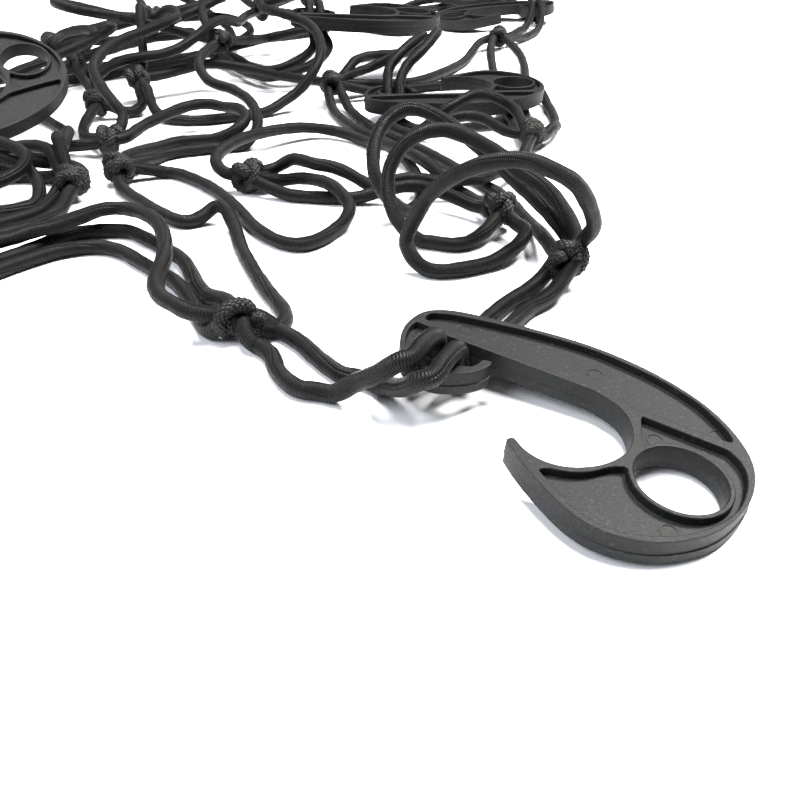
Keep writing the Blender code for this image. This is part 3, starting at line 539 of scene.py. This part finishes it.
# Mesh cords, by their bends: first knot, last knot, bends
MESH = (
    ("a", "c", ((-38, 186, 4), (-34, 190, 3), (-35, 198, 3), (-43, 213, 3), (-53, 236, 3),
                (-60, 256, 5), (-66, 266, 7), (-73, 265, 4), (-79, 262, 3), (-88, 268, 3),
                (-102, 283, 3), (-112, 295, 4))),
    ("a", "u", ((-50, 186, 8), (-58, 184, 10), (-64, 187, 11), (-69, 192, 11), (-72, 200, 11),
                (-73, 215, 12), (-77, 230, 12), (-83, 242, 12), (-91, 251, 11), (-99, 256, 10),
                (-106, 255, 9), (-112, 249, 7), (-118, 245, 5), (-125, 241, 4), (-134, 235, 3),
                (-154, 229, 3), (-180, 246, 3))),
    ("b", "e", ((58, 222, 14), (59, 217, 22), (51, 210, 36), (42, 211, 41), (34, 212, 43),
                (25, 215, 41), (16, 221, 35), (9, 226, 27), (5, 228, 19), (2, 228, 11),
                (5, 226, 5), (13, 223, 3), (24, 226, 3), (36, 233, 3), (43, 243, 5))),
    ("b", "e", ((56, 225, 14), (51, 231, 22), (45, 235, 27), (38, 238, 30), (31, 245, 34),
                (22, 251, 37), (14, 255, 38), (6, 256, 36), (0, 256, 31), (-4, 254, 23),
                (-3, 250, 13), (2, 247, 6), (10, 245, 3), (20, 243, 3), (30, 249, 5))),
    ("d", "e", ((-70, 297, 8), (-75, 306, 10), (-73, 322, 10), (-66, 339, 9), (-53, 355, 7),
                (-38, 363, 5), (-23, 357, 4), (-10, 342, 3), (4, 319, 3), (20, 296, 3), (32, 276, 4))),
    ("d", "e", ((-52, 290, 5), (-39, 286, 3), (-21, 284, 3), (-4, 284, 3), (12, 280, 3), (26, 271, 5))),
    ("c", "d", ((-107, 310, 5), (-94, 311, 3), (-76, 295, 3), (-63, 276, 3), (-53, 258, 3),
                (-43, 246, 3), (-34, 243, 3), (-26, 250, 3), (-19, 266, 3), (-21, 275, 3),
                (-29, 286, 3), (-42, 297, 4))),
    ("d", "g", ((-53, 301, 7), (-43, 300, 5), (-31, 292, 3), (-18, 292, 3), (-2, 292, 3),
                (16, 288, 3), (34, 292, 3), (48, 312, 4))),
    ("s", "u", ((-239, 372, 4), (-239, 350, 3), (-238, 325, 3), (-231, 302, 3), (-214, 286, 4))),
    ("f", "u", ((-136, 298, 7), (-146, 312, 7), (-163, 317, 8), (-173, 309, 9), (-165, 301, 9),
                (-150, 297, 9), (-142, 289, 8), (-139, 281, 5), (-142, 275, 3), (-154, 269, 3),
                (-174, 266, 3))),
    ("h", "u", ((-136, 337, 6), (-152, 340, 4), (-164, 329, 3), (-172, 318, 5), (-174, 309, 12),
                (-160, 303, 15), (-150, 298, 15), (-145, 292, 14), (-147, 286, 11), (-157, 281, 8),
                (-176, 278, 5))),
    ("h", "l", ((-136, 344, 6), (-146, 356, 4), (-152, 372, 4))),
    ("k", "l", ((-176, 440, 12), (-166, 424, 8), (-158, 408, 6))),
    ("j", "l", ((-136, 414, 8), (-132, 402, 5), (-138, 394, 4))),
    ("k", "f", ((-186, 440, 12), (-190, 415, 5), (-184, 395, 3), (-170, 378, 3), (-157, 362, 3),
                (-147, 340, 4), (-141, 315, 6))),
    ("j", "m", ((-128, 430, 12), (-116, 440, 13), (-104, 446, 14), (-84, 444, 12), (-64, 436, 10),
                (-48, 428, 10))),
    ("g", "m", ((66, 350, 5), (73, 362, 3), (76, 380, 3), (77, 400, 3), (75, 420, 3), (66, 438, 3),
                (48, 447, 3), (24, 446, 3), (2, 438, 3), (-16, 427, 5))),
    ("p", "m", ((52, 536, 6), (40, 500, 4), (24, 470, 4), (6, 450, 4), (-16, 436, 6))),
    ("c", "v", ((-110, 318, 5), (-103, 334, 3), (-88, 341, 3), (-73, 345, 3), (-66, 350, 7),
                (-66, 359, 11), (-71, 373, 14), (-81, 386, 16), (-95, 396, 18), (-104, 420, 22))),
    ("h", "c", ((-121, 336, 9), (-115, 354, 10), (-101, 373, 12), (-88, 375, 12), (-75, 363, 10),
                (-70, 352, 7), (-78, 349, 4), (-99, 352, 3), (-110, 340, 4), (-116, 322, 6))),
    ("j", "n", ((-130, 408, 8), (-120, 388, 4), (-99, 383, 3), (-72, 394, 3), (-55, 406, 8),
                (-45, 406, 18), (-40, 411, 27), (-42, 426, 32), (-50, 444, 35), (-66, 460, 37),
                (-78, 484, 35), (-86, 510, 31))),
    ("j", "w", ((-138, 436, 18), (-139, 446, 24), (-144, 470, 30), (-150, 492, 30))),
    ("k", "x", ((-176, 460, 20), (-174, 472, 24), (-184, 484, 24), (-200, 492, 20))),
    ("l", "n", ((-154, 401, 12), (-154, 410, 17), (-144, 424, 21), (-124, 434, 22), (-106, 442, 25),
                (-94, 470, 28), (-92, 500, 28))),
    ("h", "w", ((-125, 340, 10), (-125, 351, 14), (-130, 357, 18), (-139, 370, 22), (-146, 384, 26),
                (-148, 400, 28), (-146, 418, 30), (-136, 434, 32), (-124, 452, 32), (-128, 478, 30))),
)


def respaced(path, step):
    """The same path with a point every step or so."""
    along = lengths(path)
    marks = np.linspace(0.0, along[-1], max(2, round(along[-1] / step) + 1))
    return np.stack([np.interp(marks, along, path[:, k]) for k in range(3)], 1)


def eased(path, slot=None):
    """Even points along a path, its bends opened to TIGHTEST except in a slot."""
    path = respaced(path, STEP)
    for _ in range(60):
        middle = (path[:-2] + path[2:]) / 2
        sag = np.linalg.norm(path[1:-1] - middle, axis=1)
        tight = np.concatenate(([0.0], np.clip(sag * 2 * TIGHTEST / STEP ** 2 - 1.0, 0.0, 1.0), [0.0]))
        if slot is not None:
            tight[np.linalg.norm(path - slot, axis=1) < IN_HOOK] = 0.0
        if tight.max() < 0.02:
            break
        tight = np.maximum(tight, 0.6 * np.maximum(np.roll(tight, 1), np.roll(tight, -1)))[1:-1, None]
        path[1:-1] += 0.5 * tight * (middle - path[1:-1])
    return respaced(path, STEP)


def through_hook(row, lane, over):
    """Places of a cord's middle as it passes through a hook's slot."""
    up = -1 if row[7] else 1
    m = hook_matrix(row)
    own = (OVER_BAR if over else ()) + IN_SLOT + UNDER_SHANK
    return [tuple(m @ Vector((HOOK_LANE * lane, y, z * up))) for y, z in own]


def knot_row(name):
    """A knot's row in the table."""
    return next(k for k in KNOTS if k[0] == name)


def knot_point(name, lane=0):
    """Middle of a knot, or the place beside it of one of a pair of cords."""
    _, x, y, z, heading = knot_row(name)
    side = math.radians(heading + 90)
    return (x + lane * PAIR * math.cos(side), y + lane * PAIR * math.sin(side), z)


def bow(start, end, heading, stand, ess):
    """Slack cord between two knots, bowed aside until it is STRAND long."""
    a = np.array(start, float)
    b = np.array(end, float)
    t = np.linspace(0.0, 1.0, 25)[:, None]
    out = np.array((math.cos(math.radians(heading)), math.sin(math.radians(heading)), stand))
    along = (b - a) / np.linalg.norm(b - a)
    low, high = 0.0, STRAND
    for _ in range(30):
        size = (low + high) / 2
        path = a + (b - a) * t + size * (np.sin(math.pi * t) * out + ess * np.sin(2 * math.pi * t) * along)
        if lengths(path)[-1] < STRAND:
            low = size
        else:
            high = size
    path[:, 2] = np.maximum(path[:, 2], FLOOR)
    return path


def routes():
    """Every cord as a dict: its two knots, its own hook and its path."""
    hooks = {row[0]: row for row in HOOKS}
    found = []
    for first, last, heading, stand, ess in SLACK:
        path = bow(knot_point(first), knot_point(last), heading, stand, ess)
        found.append({"ends": (first, last), "hook": None, "slot": None, "path": eased(path)})
    for first, last, lane, before, hook, over, after in EDGE:
        middle = through_hook(hooks[hook], lane, over) if hook else []
        slot = hooks[hook][1:4] if hook else None
        points = [knot_point(first, lane), *before, *middle, *after, knot_point(last, lane)]
        path = eased(smooth(points), slot)
        found.append({"ends": (first, last), "hook": hook, "slot": slot, "path": path})
    for first, last, bends in MESH:
        points = [knot_point(first), *bends, knot_point(last)]
        path = eased(smooth(points))
        found.append({"ends": (first, last), "hook": None, "slot": None, "path": path})
    return found


def hook_cores():
    """Points in the middle of each hook's bars, to keep cords off them."""
    cores = []
    shape = np.array(hook_outline())
    for row in HOOKS:
        m = hook_matrix(row)
        for x in np.arange(-14.0, 76.0, CORE_STEP):
            for y in np.arange(-36.0, 21.0, CORE_STEP):
                inside = point_inside((x, y), shape)
                if inside and math.dist((x, y), RING_AT) > RING_HOLE:
                    cores.append((row[0], *(m @ Vector((x, y, 0.0)))))
    return cores


def point_inside(point, shape):
    """Whether a point is inside a closed outline."""
    x, y = point
    hit = False
    for (ax, ay), (bx, by) in zip(shape, np.roll(shape, -1, axis=0)):
        if (ay > y) != (by > y) and x < ax + (y - ay) / (by - ay) * (bx - ax):
            hit = not hit
    return hit


def laid(cords):
    """Lay the cords in turn, each humped over what already lies there."""
    cores = hook_cores()
    core_at = np.array([c[1:] for c in cores])
    core_of = np.array([c[0] for c in cores])
    knot_at = np.array([k[1:4] for k in KNOTS], float)
    knot_of = [k[0] for k in KNOTS]
    down = []
    for cord in cords:
        path = cord["path"]
        path[:, 2] = np.interp(path[:, 2], SET_OUT, SET_DOWN)
        along = lengths(path)
        total = along[-1]
        free = np.clip((np.minimum(along, total - along) - KNOT_HALF) / OFF_KNOT, 0.0, 1.0)
        free = free * free * (3 - 2 * free)
        others = [(core_at[core_of != cord["hook"]], HOOK_T / 2 + CORD / 2 + AIR + 0.5, ())]
        for name, at in zip(knot_of, knot_at):
            if name not in cord["ends"]:
                others.append((at[None], KNOT_R + CORD / 2 + AIR, ()))
        for other in down:
            shared = [knot_row(name)[1:4] for name in set(cord["ends"]) & set(other["ends"])]
            if cord["hook"] and cord["hook"] == other["hook"]:
                shared.append(cord["slot"])
            others.append((other["path"], CORD + AIR, shared))
        low = path[:, :2].min(axis=0)
        high = path[:, :2].max(axis=0)
        close = []
        for at, reach, shared in others:
            inside = ((at[:, :2] > low - reach) & (at[:, :2] < high + reach)).all(axis=1)
            if inside.any():
                close.append((at[inside], reach, shared))
        for _ in range(14):
            need = np.zeros(len(path))
            for at, reach, shared in close:
                flat = np.linalg.norm(path[:, None, :2] - at[None, :, :2], axis=2)
                room = np.sqrt(np.maximum(reach ** 2 - flat ** 2, 0.0))
                rise = at[None, :, 2] + room - path[:, None, 2]
                clash = (flat < reach) & (rise > 0) & (rise < 2 * room)
                for centre in shared:
                    clash[np.linalg.norm(path - centre, axis=1) < MEETING] = False
                need = np.maximum(need, np.where(clash, rise, 0.0).max(axis=1))
            if need.max() < 0.05:
                break
            gap = np.abs(along[:, None] - along[None, :]) / HUMP
            hump = np.where(gap < 1, (1 - np.minimum(gap, 1) ** 2) ** 2, 0.0) * need[None, :]
            path[:, 2] += hump.max(axis=1) * free * 1.02
        down.append(cord)
    return cords


def tube(path, radius, turn, sides, phase=0.0):
    """Points, faces and UVs of a round tube.

    radius has one number a ring, or one a ring and side.  turn is how far the
    cord is twisted at each ring.  UVs are turns round it and centimetres along.
    """
    way = np.gradient(path, axis=0)
    way /= np.linalg.norm(way, axis=1)[:, None]
    side = np.cross(way[0], (0.0, 0.0, 1.0) if abs(way[0][2]) < 0.9 else (1.0, 0.0, 0.0))
    sides_of = []
    for along in way:
        side = side - along * (side @ along)
        side /= np.linalg.norm(side)
        sides_of.append(side)
    across = np.array(sides_of)
    up = np.cross(way, across)
    angle = phase + turn[:, None] + np.arange(sides)[None, :] * 2 * math.pi / sides
    reach = radius if radius.ndim == 2 else radius[:, None]
    points = (path[:, None] + (reach * np.cos(angle))[..., None] * across[:, None]
              + (reach * np.sin(angle))[..., None] * up[:, None])
    rings = len(path)
    first = (np.arange(rings - 1)[:, None] * sides + np.arange(sides)[None, :]).ravel()
    after = (np.arange(rings - 1)[:, None] * sides + (np.arange(sides)[None, :] + 1) % sides).ravel()
    faces = np.stack((first, after, after + sides, first + sides), 1)
    u = np.tile(np.arange(sides) / sides, rings - 1)
    v = np.repeat(lengths(path) / UV_MM, sides)
    low, high = v[:-sides], v[sides:]
    uvs = np.stack((u, low, u + 1 / sides, low, u + 1 / sides, high, u, high), 1).reshape(-1, 2)
    return points.reshape(-1, 3), faces, uvs


def bundle(name, tubes, paint):
    """One object from many tubes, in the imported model's frame."""
    points, faces, uvs = [], [], []
    count = 0
    for some, quads, flat in tubes:
        points.append(some)
        faces.append(quads + count)
        uvs.append(flat)
        count += len(some)
    points = np.vstack(points)
    points = (points - (*MIDDLE, 0.0)) * MM
    mesh = bpy.data.meshes.new(name)
    mesh.from_pydata(points.tolist(), [], np.vstack(faces).tolist())
    layer = mesh.uv_layers.new(name="round_and_along")
    layer.data.foreach_set("uv", np.vstack(uvs).astype(np.float32).ravel())
    mesh.shade_smooth()
    mesh.materials.append(paint)
    thing = standing(name, mesh)
    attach(thing, "root")
    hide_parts("net")


def served_polyester():
    """Polyester yarn served tight round rubber: near black, fine ribs across, a dull satin sheen."""
    paint, tree, shader = bare("served_polyester_cover", IOR=1.5, Specular_IOR_Level=0.14,
                               Sheen_Weight=0.015, Sheen_Roughness=0.4)
    uv = add(tree, "ShaderNodeUVMap", {"uv_map": "round_and_along"}, {}).outputs["UV"]
    apart = add(tree, "ShaderNodeSeparateXYZ", {}, {"Vector": uv})
    round_it, along_it = apart.outputs["X"], apart.outputs["Y"]
    place = add(tree, "ShaderNodeTexCoord", {}, {}).outputs["Object"]
    # the yarns lean by one yarn a turn, and wander a little
    lean = add(tree, "ShaderNodeMath", {"operation": "MULTIPLY_ADD"},
               {0: along_it, 1: UV_MM / YARN, 2: round_it}).outputs[0]
    uneven = add(tree, "ShaderNodeTexNoise", {},
                 {"Vector": place, "Scale": 1 / (4 * MM), "Detail": 2.0}).outputs["Fac"]
    wander = add(tree, "ShaderNodeMath", {"operation": "MULTIPLY_ADD"},
                 {0: uneven, 1: 0.9, 2: lean}).outputs[0]
    cycle = add(tree, "ShaderNodeMath", {"operation": "MULTIPLY"}, {0: wander, 1: 2 * math.pi}).outputs[0]
    wave = add(tree, "ShaderNodeMath", {"operation": "SINE"}, {0: cycle}).outputs[0]
    rib = add(tree, "ShaderNodeMapRange", {}, {"Value": wave, "From Min": -1.0, "From Max": 1.0}).outputs[0]
    # fibres of a tenth of a millimetre along each yarn, drawn at 0.6 mm so that they show
    fibre = add(tree, "ShaderNodeTexNoise", {},
                {"Vector": place, "Scale": 1 / (0.6 * MM), "Detail": 3.0, "Roughness": 0.7}).outputs["Fac"]
    # shallow grooves along the cord, where the cover closes between the rubber threads; the colour is
    # darkened in them as painted shade
    off = round_it
    for operation, by in (("MULTIPLY", THREADS), ("FRACT", 0.0), ("SUBTRACT", 0.5), ("ABSOLUTE", 0.0)):
        off = add(tree, "ShaderNodeMath", {"operation": operation}, {0: off, 1: by}).outputs[0]
    groove = add(tree, "ShaderNodeMapRange", {"interpolation_type": "SMOOTHSTEP"},
                 {"Value": off, "From Min": 0.0, "From Max": 0.1}).outputs["Result"]
    height = rib
    for what, much in ((fibre, 0.35), (groove, 1.4)):
        height = add(tree, "ShaderNodeMath", {"operation": "MULTIPLY_ADD"},
                     {0: what, 1: much, 2: height}).outputs[0]
    relief = add(tree, "ShaderNodeBump", {},
                 {"Strength": 0.85, "Distance": 0.2 * MM, "Height": height}).outputs["Normal"]
    tree.links.new(relief, shader.inputs["Normal"])
    # painted shade: the gaps between the yarns are darker than the yarn tops; patches of the cover are
    # duller
    patch = add(tree, "ShaderNodeTexNoise", {},
                {"Vector": place, "Scale": 1 / (30 * MM), "Detail": 3.0}).outputs["Fac"]
    shaded_yarn = add(tree, "ShaderNodeMix", {"data_type": "RGBA"},
               {0: rib, 6: linear("#040404"), 7: linear("#1f1c1b")}).outputs[2]
    worn_and_shaded = add(tree, "ShaderNodeMix", {"data_type": "RGBA"},
               {0: patch, 6: shaded_yarn, 7: linear("#0d0c0c")}).outputs[2]
    # painted shade: the colour is darkest in the grooves along the cord
    shade = add(tree, "ShaderNodeMix", {"data_type": "RGBA"},
                {0: groove, 6: linear("#030303"), 7: worn_and_shaded}).outputs[2]
    tree.links.new(shade, shader.inputs["Base Color"])
    rough = add(tree, "ShaderNodeMapRange", {}, {"Value": fibre, "From Min": 0.3, "From Max": 0.7,
                                                 "To Min": 0.36, "To Max": 0.54}).outputs["Result"]
    tree.links.new(rough, shader.inputs["Roughness"])
    return paint


def covered(path, chance):
    """One length of cord: its cover swells and pinches a little, and it is slightly twisted."""
    line = smooth(path, per_span=2)
    along = lengths(line)
    swell = sum(size * np.sin(along * 2 * math.pi / wave + chance.uniform(0, 6.28))
                for wave, size in SWELLS)
    line[:, 2] = np.maximum(line[:, 2], CORD / 2)
    even, most, wander = TWIST
    return tube(line, CORD / 2 * (1 + swell), along / even + most * np.sin(along / wander), SIDES,
                chance.uniform(0, 6.28))


chance = np.random.default_rng(5)
cover = served_polyester()
cords = laid(routes())
after_slack, after_edge = len(SLACK), len(SLACK) + len(EDGE)
doubled = [covered(cord["path"], chance) for cord in cords[after_slack:after_edge]]
single = [covered(cord["path"], chance) for cord in cords[:after_slack] + cords[after_edge:]]
bundle("edge_cords", doubled, cover)
bundle("mesh_cords", single, cover)


# ------------------------------------------------------------------ the knots
# Where lengths of cord meet, one is passed round the others, crossed over
# itself and pulled tight.  The stretched cover opens to a coarse plait there,
# and a lump of the same cord stands beside the turns.
KNOT_CORD = 4.2              # the cord is drawn thinner in a knot
TURN_R = 3.5                 # from a knot's axis to the middle of its turns
BESIDE = 2.1                 # half the spacing of its two turns
CROSS = 1.0                  # rise and dip where the turns cross
TURN_POINTS = 93             # points along both turns
LUMP_SWEEP = 1.9             # how far the lump reaches round to each side, in radians
LUMP_OUT = 3.7               # how far it stands out, and how far its ends dive from there
LUMP_DIVE = 2.9
LUMP_LEAN = 0.9              # how far each end leans along the cord
LUMP_POINTS = 34
LUMP_TAPER = 2.4             # length over which an end comes to a point
BEAD = 1.5                   # plait: length of one bead along the cord
BEADS = 7                    # and their number round it
BEAD_RISE = 0.8              # height of a bead over the gaps
PLAIT_STEP = 0.4             # spacing of the rings of a plaited tube, and its sides
PLAIT_SIDES = 28
PRESSED = 0.05               # height to which what would sink in the floor is pressed

# How each knot was pulled.  Roll and side are in degrees round the cord.
# name, crossings of its turns, roll of the first crossing, lean of the turns
# in degrees, side of the lump, place of the lump along the cord
PULLED = (
    ("a", 1, 200, 14, 250, -5.6),
    ("b", 3, 60, -10, 200, 5.4),
    ("c", 3, 20, 8, 120, -5.0),
    ("d", 3, 90, -12, 60, 5.2),
    ("e", 3, 150, 10, 150, 5.0),
    ("f", 3, 10, 8, 80, -5.0),
    ("g", 1, 60, -14, 100, 5.2),
    ("h", 3, 120, 6, 60, 5.0),
    ("j", 3, 40, -10, 140, -5.2),
    ("k", 1, 170, 12, 60, 5.4),
    ("l", 3, 70, 8, 110, 5.0),
    ("m", 3, 20, -12, 70, -5.2),
    ("n", 1, 110, 10, 120, 5.4),
    ("p", 3, 50, 8, 60, -5.2),
    ("q", 1, 150, -12, 130, 5.2),
    ("r", 3, 90, 10, 80, 5.0),
    ("s", 1, 30, 12, 110, -5.4),
    ("u", 3, 80, -8, 70, 5.0),
    ("v", 3, 140, 10, 130, -5.0),
    ("w", 3, 10, -10, 90, 5.2),
    ("x", 1, 60, 12, 60, 5.2),
)


def own_turns(crossings, roll, lean):
    """The two turns round the cords, crossing over each other."""
    t = np.linspace(0.0, 1.0, TURN_POINTS)
    angle = 4 * math.pi * t + math.radians(roll)
    swing = crossings * 2 * math.pi * t
    reach = TURN_R + CROSS * np.sin(swing)
    y = reach * np.cos(angle)
    x = BESIDE * np.cos(swing) + y * math.tan(math.radians(lean))
    return np.stack((x, y, reach * np.sin(angle)), 1)


def own_lump(side, place):
    """A short bight that stands out beside the turns and dives in again."""
    t = np.linspace(-1.0, 1.0, LUMP_POINTS)
    angle = math.radians(side) + t * LUMP_SWEEP
    reach = LUMP_OUT - LUMP_DIVE * np.abs(t) ** 3
    return np.stack((place + LUMP_LEAN * t, reach * np.cos(angle), reach * np.sin(angle)), 1)


def plaited(path, closed):
    """A tube whose surface stands up in beads, as a stretched plait does."""
    line = respaced(path, PLAIT_STEP)
    along = lengths(line)
    turn = np.arange(PLAIT_SIDES)[None, :] / PLAIT_SIDES * 2 * math.pi
    half = BEADS / 2
    one = np.sin(half * turn + along[:, None] * math.pi / BEAD)
    other = np.sin(half * turn - along[:, None] * math.pi / BEAD)
    rise = BEAD_RISE * np.sqrt(np.abs(one * other)) - BEAD_RISE / 2
    taper = np.ones(len(line))
    if not closed:
        ends = np.minimum(along, along[-1] - along) / LUMP_TAPER
        taper = np.sin(np.clip(ends, 0.02, 1.0) * math.pi / 2)
    return tube(line, (KNOT_CORD / 2 + rise) * taper[:, None], np.zeros(len(line)), PLAIT_SIDES)


def tied(row, pulled):
    """The tubes of one knot where it lies, pressed flat on the floor where they would sink in it."""
    _, x, y, z, heading = row
    _, crossings, roll, lean, side, place = pulled
    turn = np.array(Matrix.Rotation(math.radians(heading), 3, "Z"))
    tubes = []
    for own, closed in ((own_turns(crossings, roll, lean), True), (own_lump(side, place), False)):
        points, faces, uvs = plaited(own @ turn.T + (x, y, z), closed)
        points[:, 2] = np.maximum(points[:, 2], PRESSED)
        tubes.append((points, faces, uvs))
    return tubes


def stretched_plait():
    """The same polyester cover, stretched in a knot until its plait shows as rows of beads."""
    paint, tree, shader = bare("stretched_polyester_plait", Roughness=0.46, IOR=1.5, Specular_IOR_Level=0.22,
                               Sheen_Weight=0.015, Sheen_Roughness=0.4)
    place = add(tree, "ShaderNodeTexCoord", {}, {}).outputs["Object"]
    fibre = add(tree, "ShaderNodeTexNoise", {},
                {"Vector": place, "Scale": 1 / (0.6 * MM), "Detail": 3.0, "Roughness": 0.7}).outputs["Fac"]
    # the beads stand in two leaning rows; the gaps between them are darkened as painted shade
    uv = add(tree, "ShaderNodeUVMap", {"uv_map": "round_and_along"}, {}).outputs["UV"]
    apart = add(tree, "ShaderNodeSeparateXYZ", {}, {"Vector": uv})
    waves = []
    for way in (1, -1):
        round_it = add(tree, "ShaderNodeMath", {"operation": "MULTIPLY"},
                       {0: apart.outputs["X"], 1: BEADS * math.pi}).outputs[0]
        row = add(tree, "ShaderNodeMath", {"operation": "MULTIPLY_ADD"},
                  {0: apart.outputs["Y"], 1: way * UV_MM * math.pi / BEAD, 2: round_it}).outputs[0]
        waves.append(add(tree, "ShaderNodeMath", {"operation": "SINE"}, {0: row}).outputs[0])
    both = add(tree, "ShaderNodeMath", {"operation": "MULTIPLY"}, {0: waves[0], 1: waves[1]}).outputs[0]
    both = add(tree, "ShaderNodeMath", {"operation": "ABSOLUTE"}, {0: both}).outputs[0]
    bead = add(tree, "ShaderNodeMath", {"operation": "POWER"}, {0: both, 1: 0.5}).outputs[0]
    # painted shade: the gaps between the beads are near black
    shaded_yarn = add(tree, "ShaderNodeMix", {"data_type": "RGBA"},
               {0: bead, 6: linear("#020202"), 7: linear("#1d1b1a")}).outputs[2]
    tree.links.new(shaded_yarn, shader.inputs["Base Color"])
    height = add(tree, "ShaderNodeMath", {"operation": "MULTIPLY_ADD"},
                 {0: fibre, 1: 0.2, 2: bead}).outputs[0]
    relief = add(tree, "ShaderNodeBump", {},
                 {"Strength": 0.8, "Distance": 0.3 * MM, "Height": height}).outputs["Normal"]
    tree.links.new(relief, shader.inputs["Normal"])
    return paint


pulled_by = {row[0]: row for row in PULLED}
knots = [piece for row in KNOTS for piece in tied(row, pulled_by[row[0]])]
bundle("knots", knots, stretched_plait())


# ------------------------------------------------------- floor, light, camera
# The heap lies on a plain white table.  One lamp stands high on the right, a
# wide one hangs overhead, and a weak one fills in from the left in front.  The
# camera looks down on the near end of the heap.
FLOOR_REACH = 6.0            # metres from the middle of the floor to its sides
AIM = Vector((0.05, -0.2, 0.0))           # in metres: beside the near hook, where the lamps point
WORLD = 0.16                 # strength of the even light from all round
CAMERA_HIGH = 118.0
CAMERA_DOWN = 37.0           # degrees below the horizon
LENS = 34.2                  # on film of 36 mm

# name, place and size in metres, watts, colour
LAMPS = (
    ("key", (0.85, 0.3, 1.25), 0.5, 62.0, "#fffdf8"),
    ("fill", (-0.9, -0.7, 1.0), 0.9, 20.0, "#f4f8ff"),
    ("top", (0.0, -0.1, 1.6), 0.8, 46.0, "#ffffff"),
)


def matt_white_board():
    """Melamine board, matt white: bright, faintly uneven in tone, with no pattern."""
    paint, tree, shader = bare("matt_white_board", Roughness=0.6)
    place = add(tree, "ShaderNodeTexCoord", {}, {}).outputs["Object"]
    tone = add(tree, "ShaderNodeTexNoise", {}, {"Vector": place, "Scale": 6.0, "Detail": 2.0}).outputs["Fac"]
    board = add(tree, "ShaderNodeMix", {"data_type": "RGBA"},
                {0: tone, 6: linear("#f4f5f7"), 7: linear("#f8f8f9")}).outputs[2]
    tree.links.new(board, shader.inputs["Base Color"])
    return paint


table = bpy.data.meshes.new("floor")
corners = [(x * FLOOR_REACH, y * FLOOR_REACH, 0.0) for x, y in ((-1, -1), (1, -1), (1, 1), (-1, 1))]
table.from_pydata(corners, [], [(0, 1, 2, 3)])
table.materials.append(matt_white_board())
standing("floor", table)

world = bpy.data.worlds.new("studio")
bpy.context.scene.world = world
world.use_nodes = True
sky = world.node_tree.nodes["Background"]
sky.inputs["Color"].default_value = linear("#f2f5fa")
sky.inputs["Strength"].default_value = WORLD

for name, at, size, watts, colour in LAMPS:
    light = bpy.data.lights.new(name, "AREA")
    light.shape = "DISK"
    light.size = size
    light.energy = watts
    light.color = linear(colour)[:3]
    lamp = standing(name, light)
    lamp.location = at
    lamp.rotation_euler = (AIM - Vector(at)).to_track_quat("-Z", "Y").to_euler()

seen = bpy.data.cameras.new("camera")
seen.sensor_width = 36.0
seen.lens = LENS
seen.clip_start = 0.01
camera = standing("camera", seen)
camera.location = placed(0.0, 0.0, CAMERA_HIGH)
camera.rotation_euler = (math.radians(90.0 - CAMERA_DOWN), 0.0, 0.0)
bpy.context.scene.camera = camera
bpy.context.scene.view_settings.view_transform = "Standard"
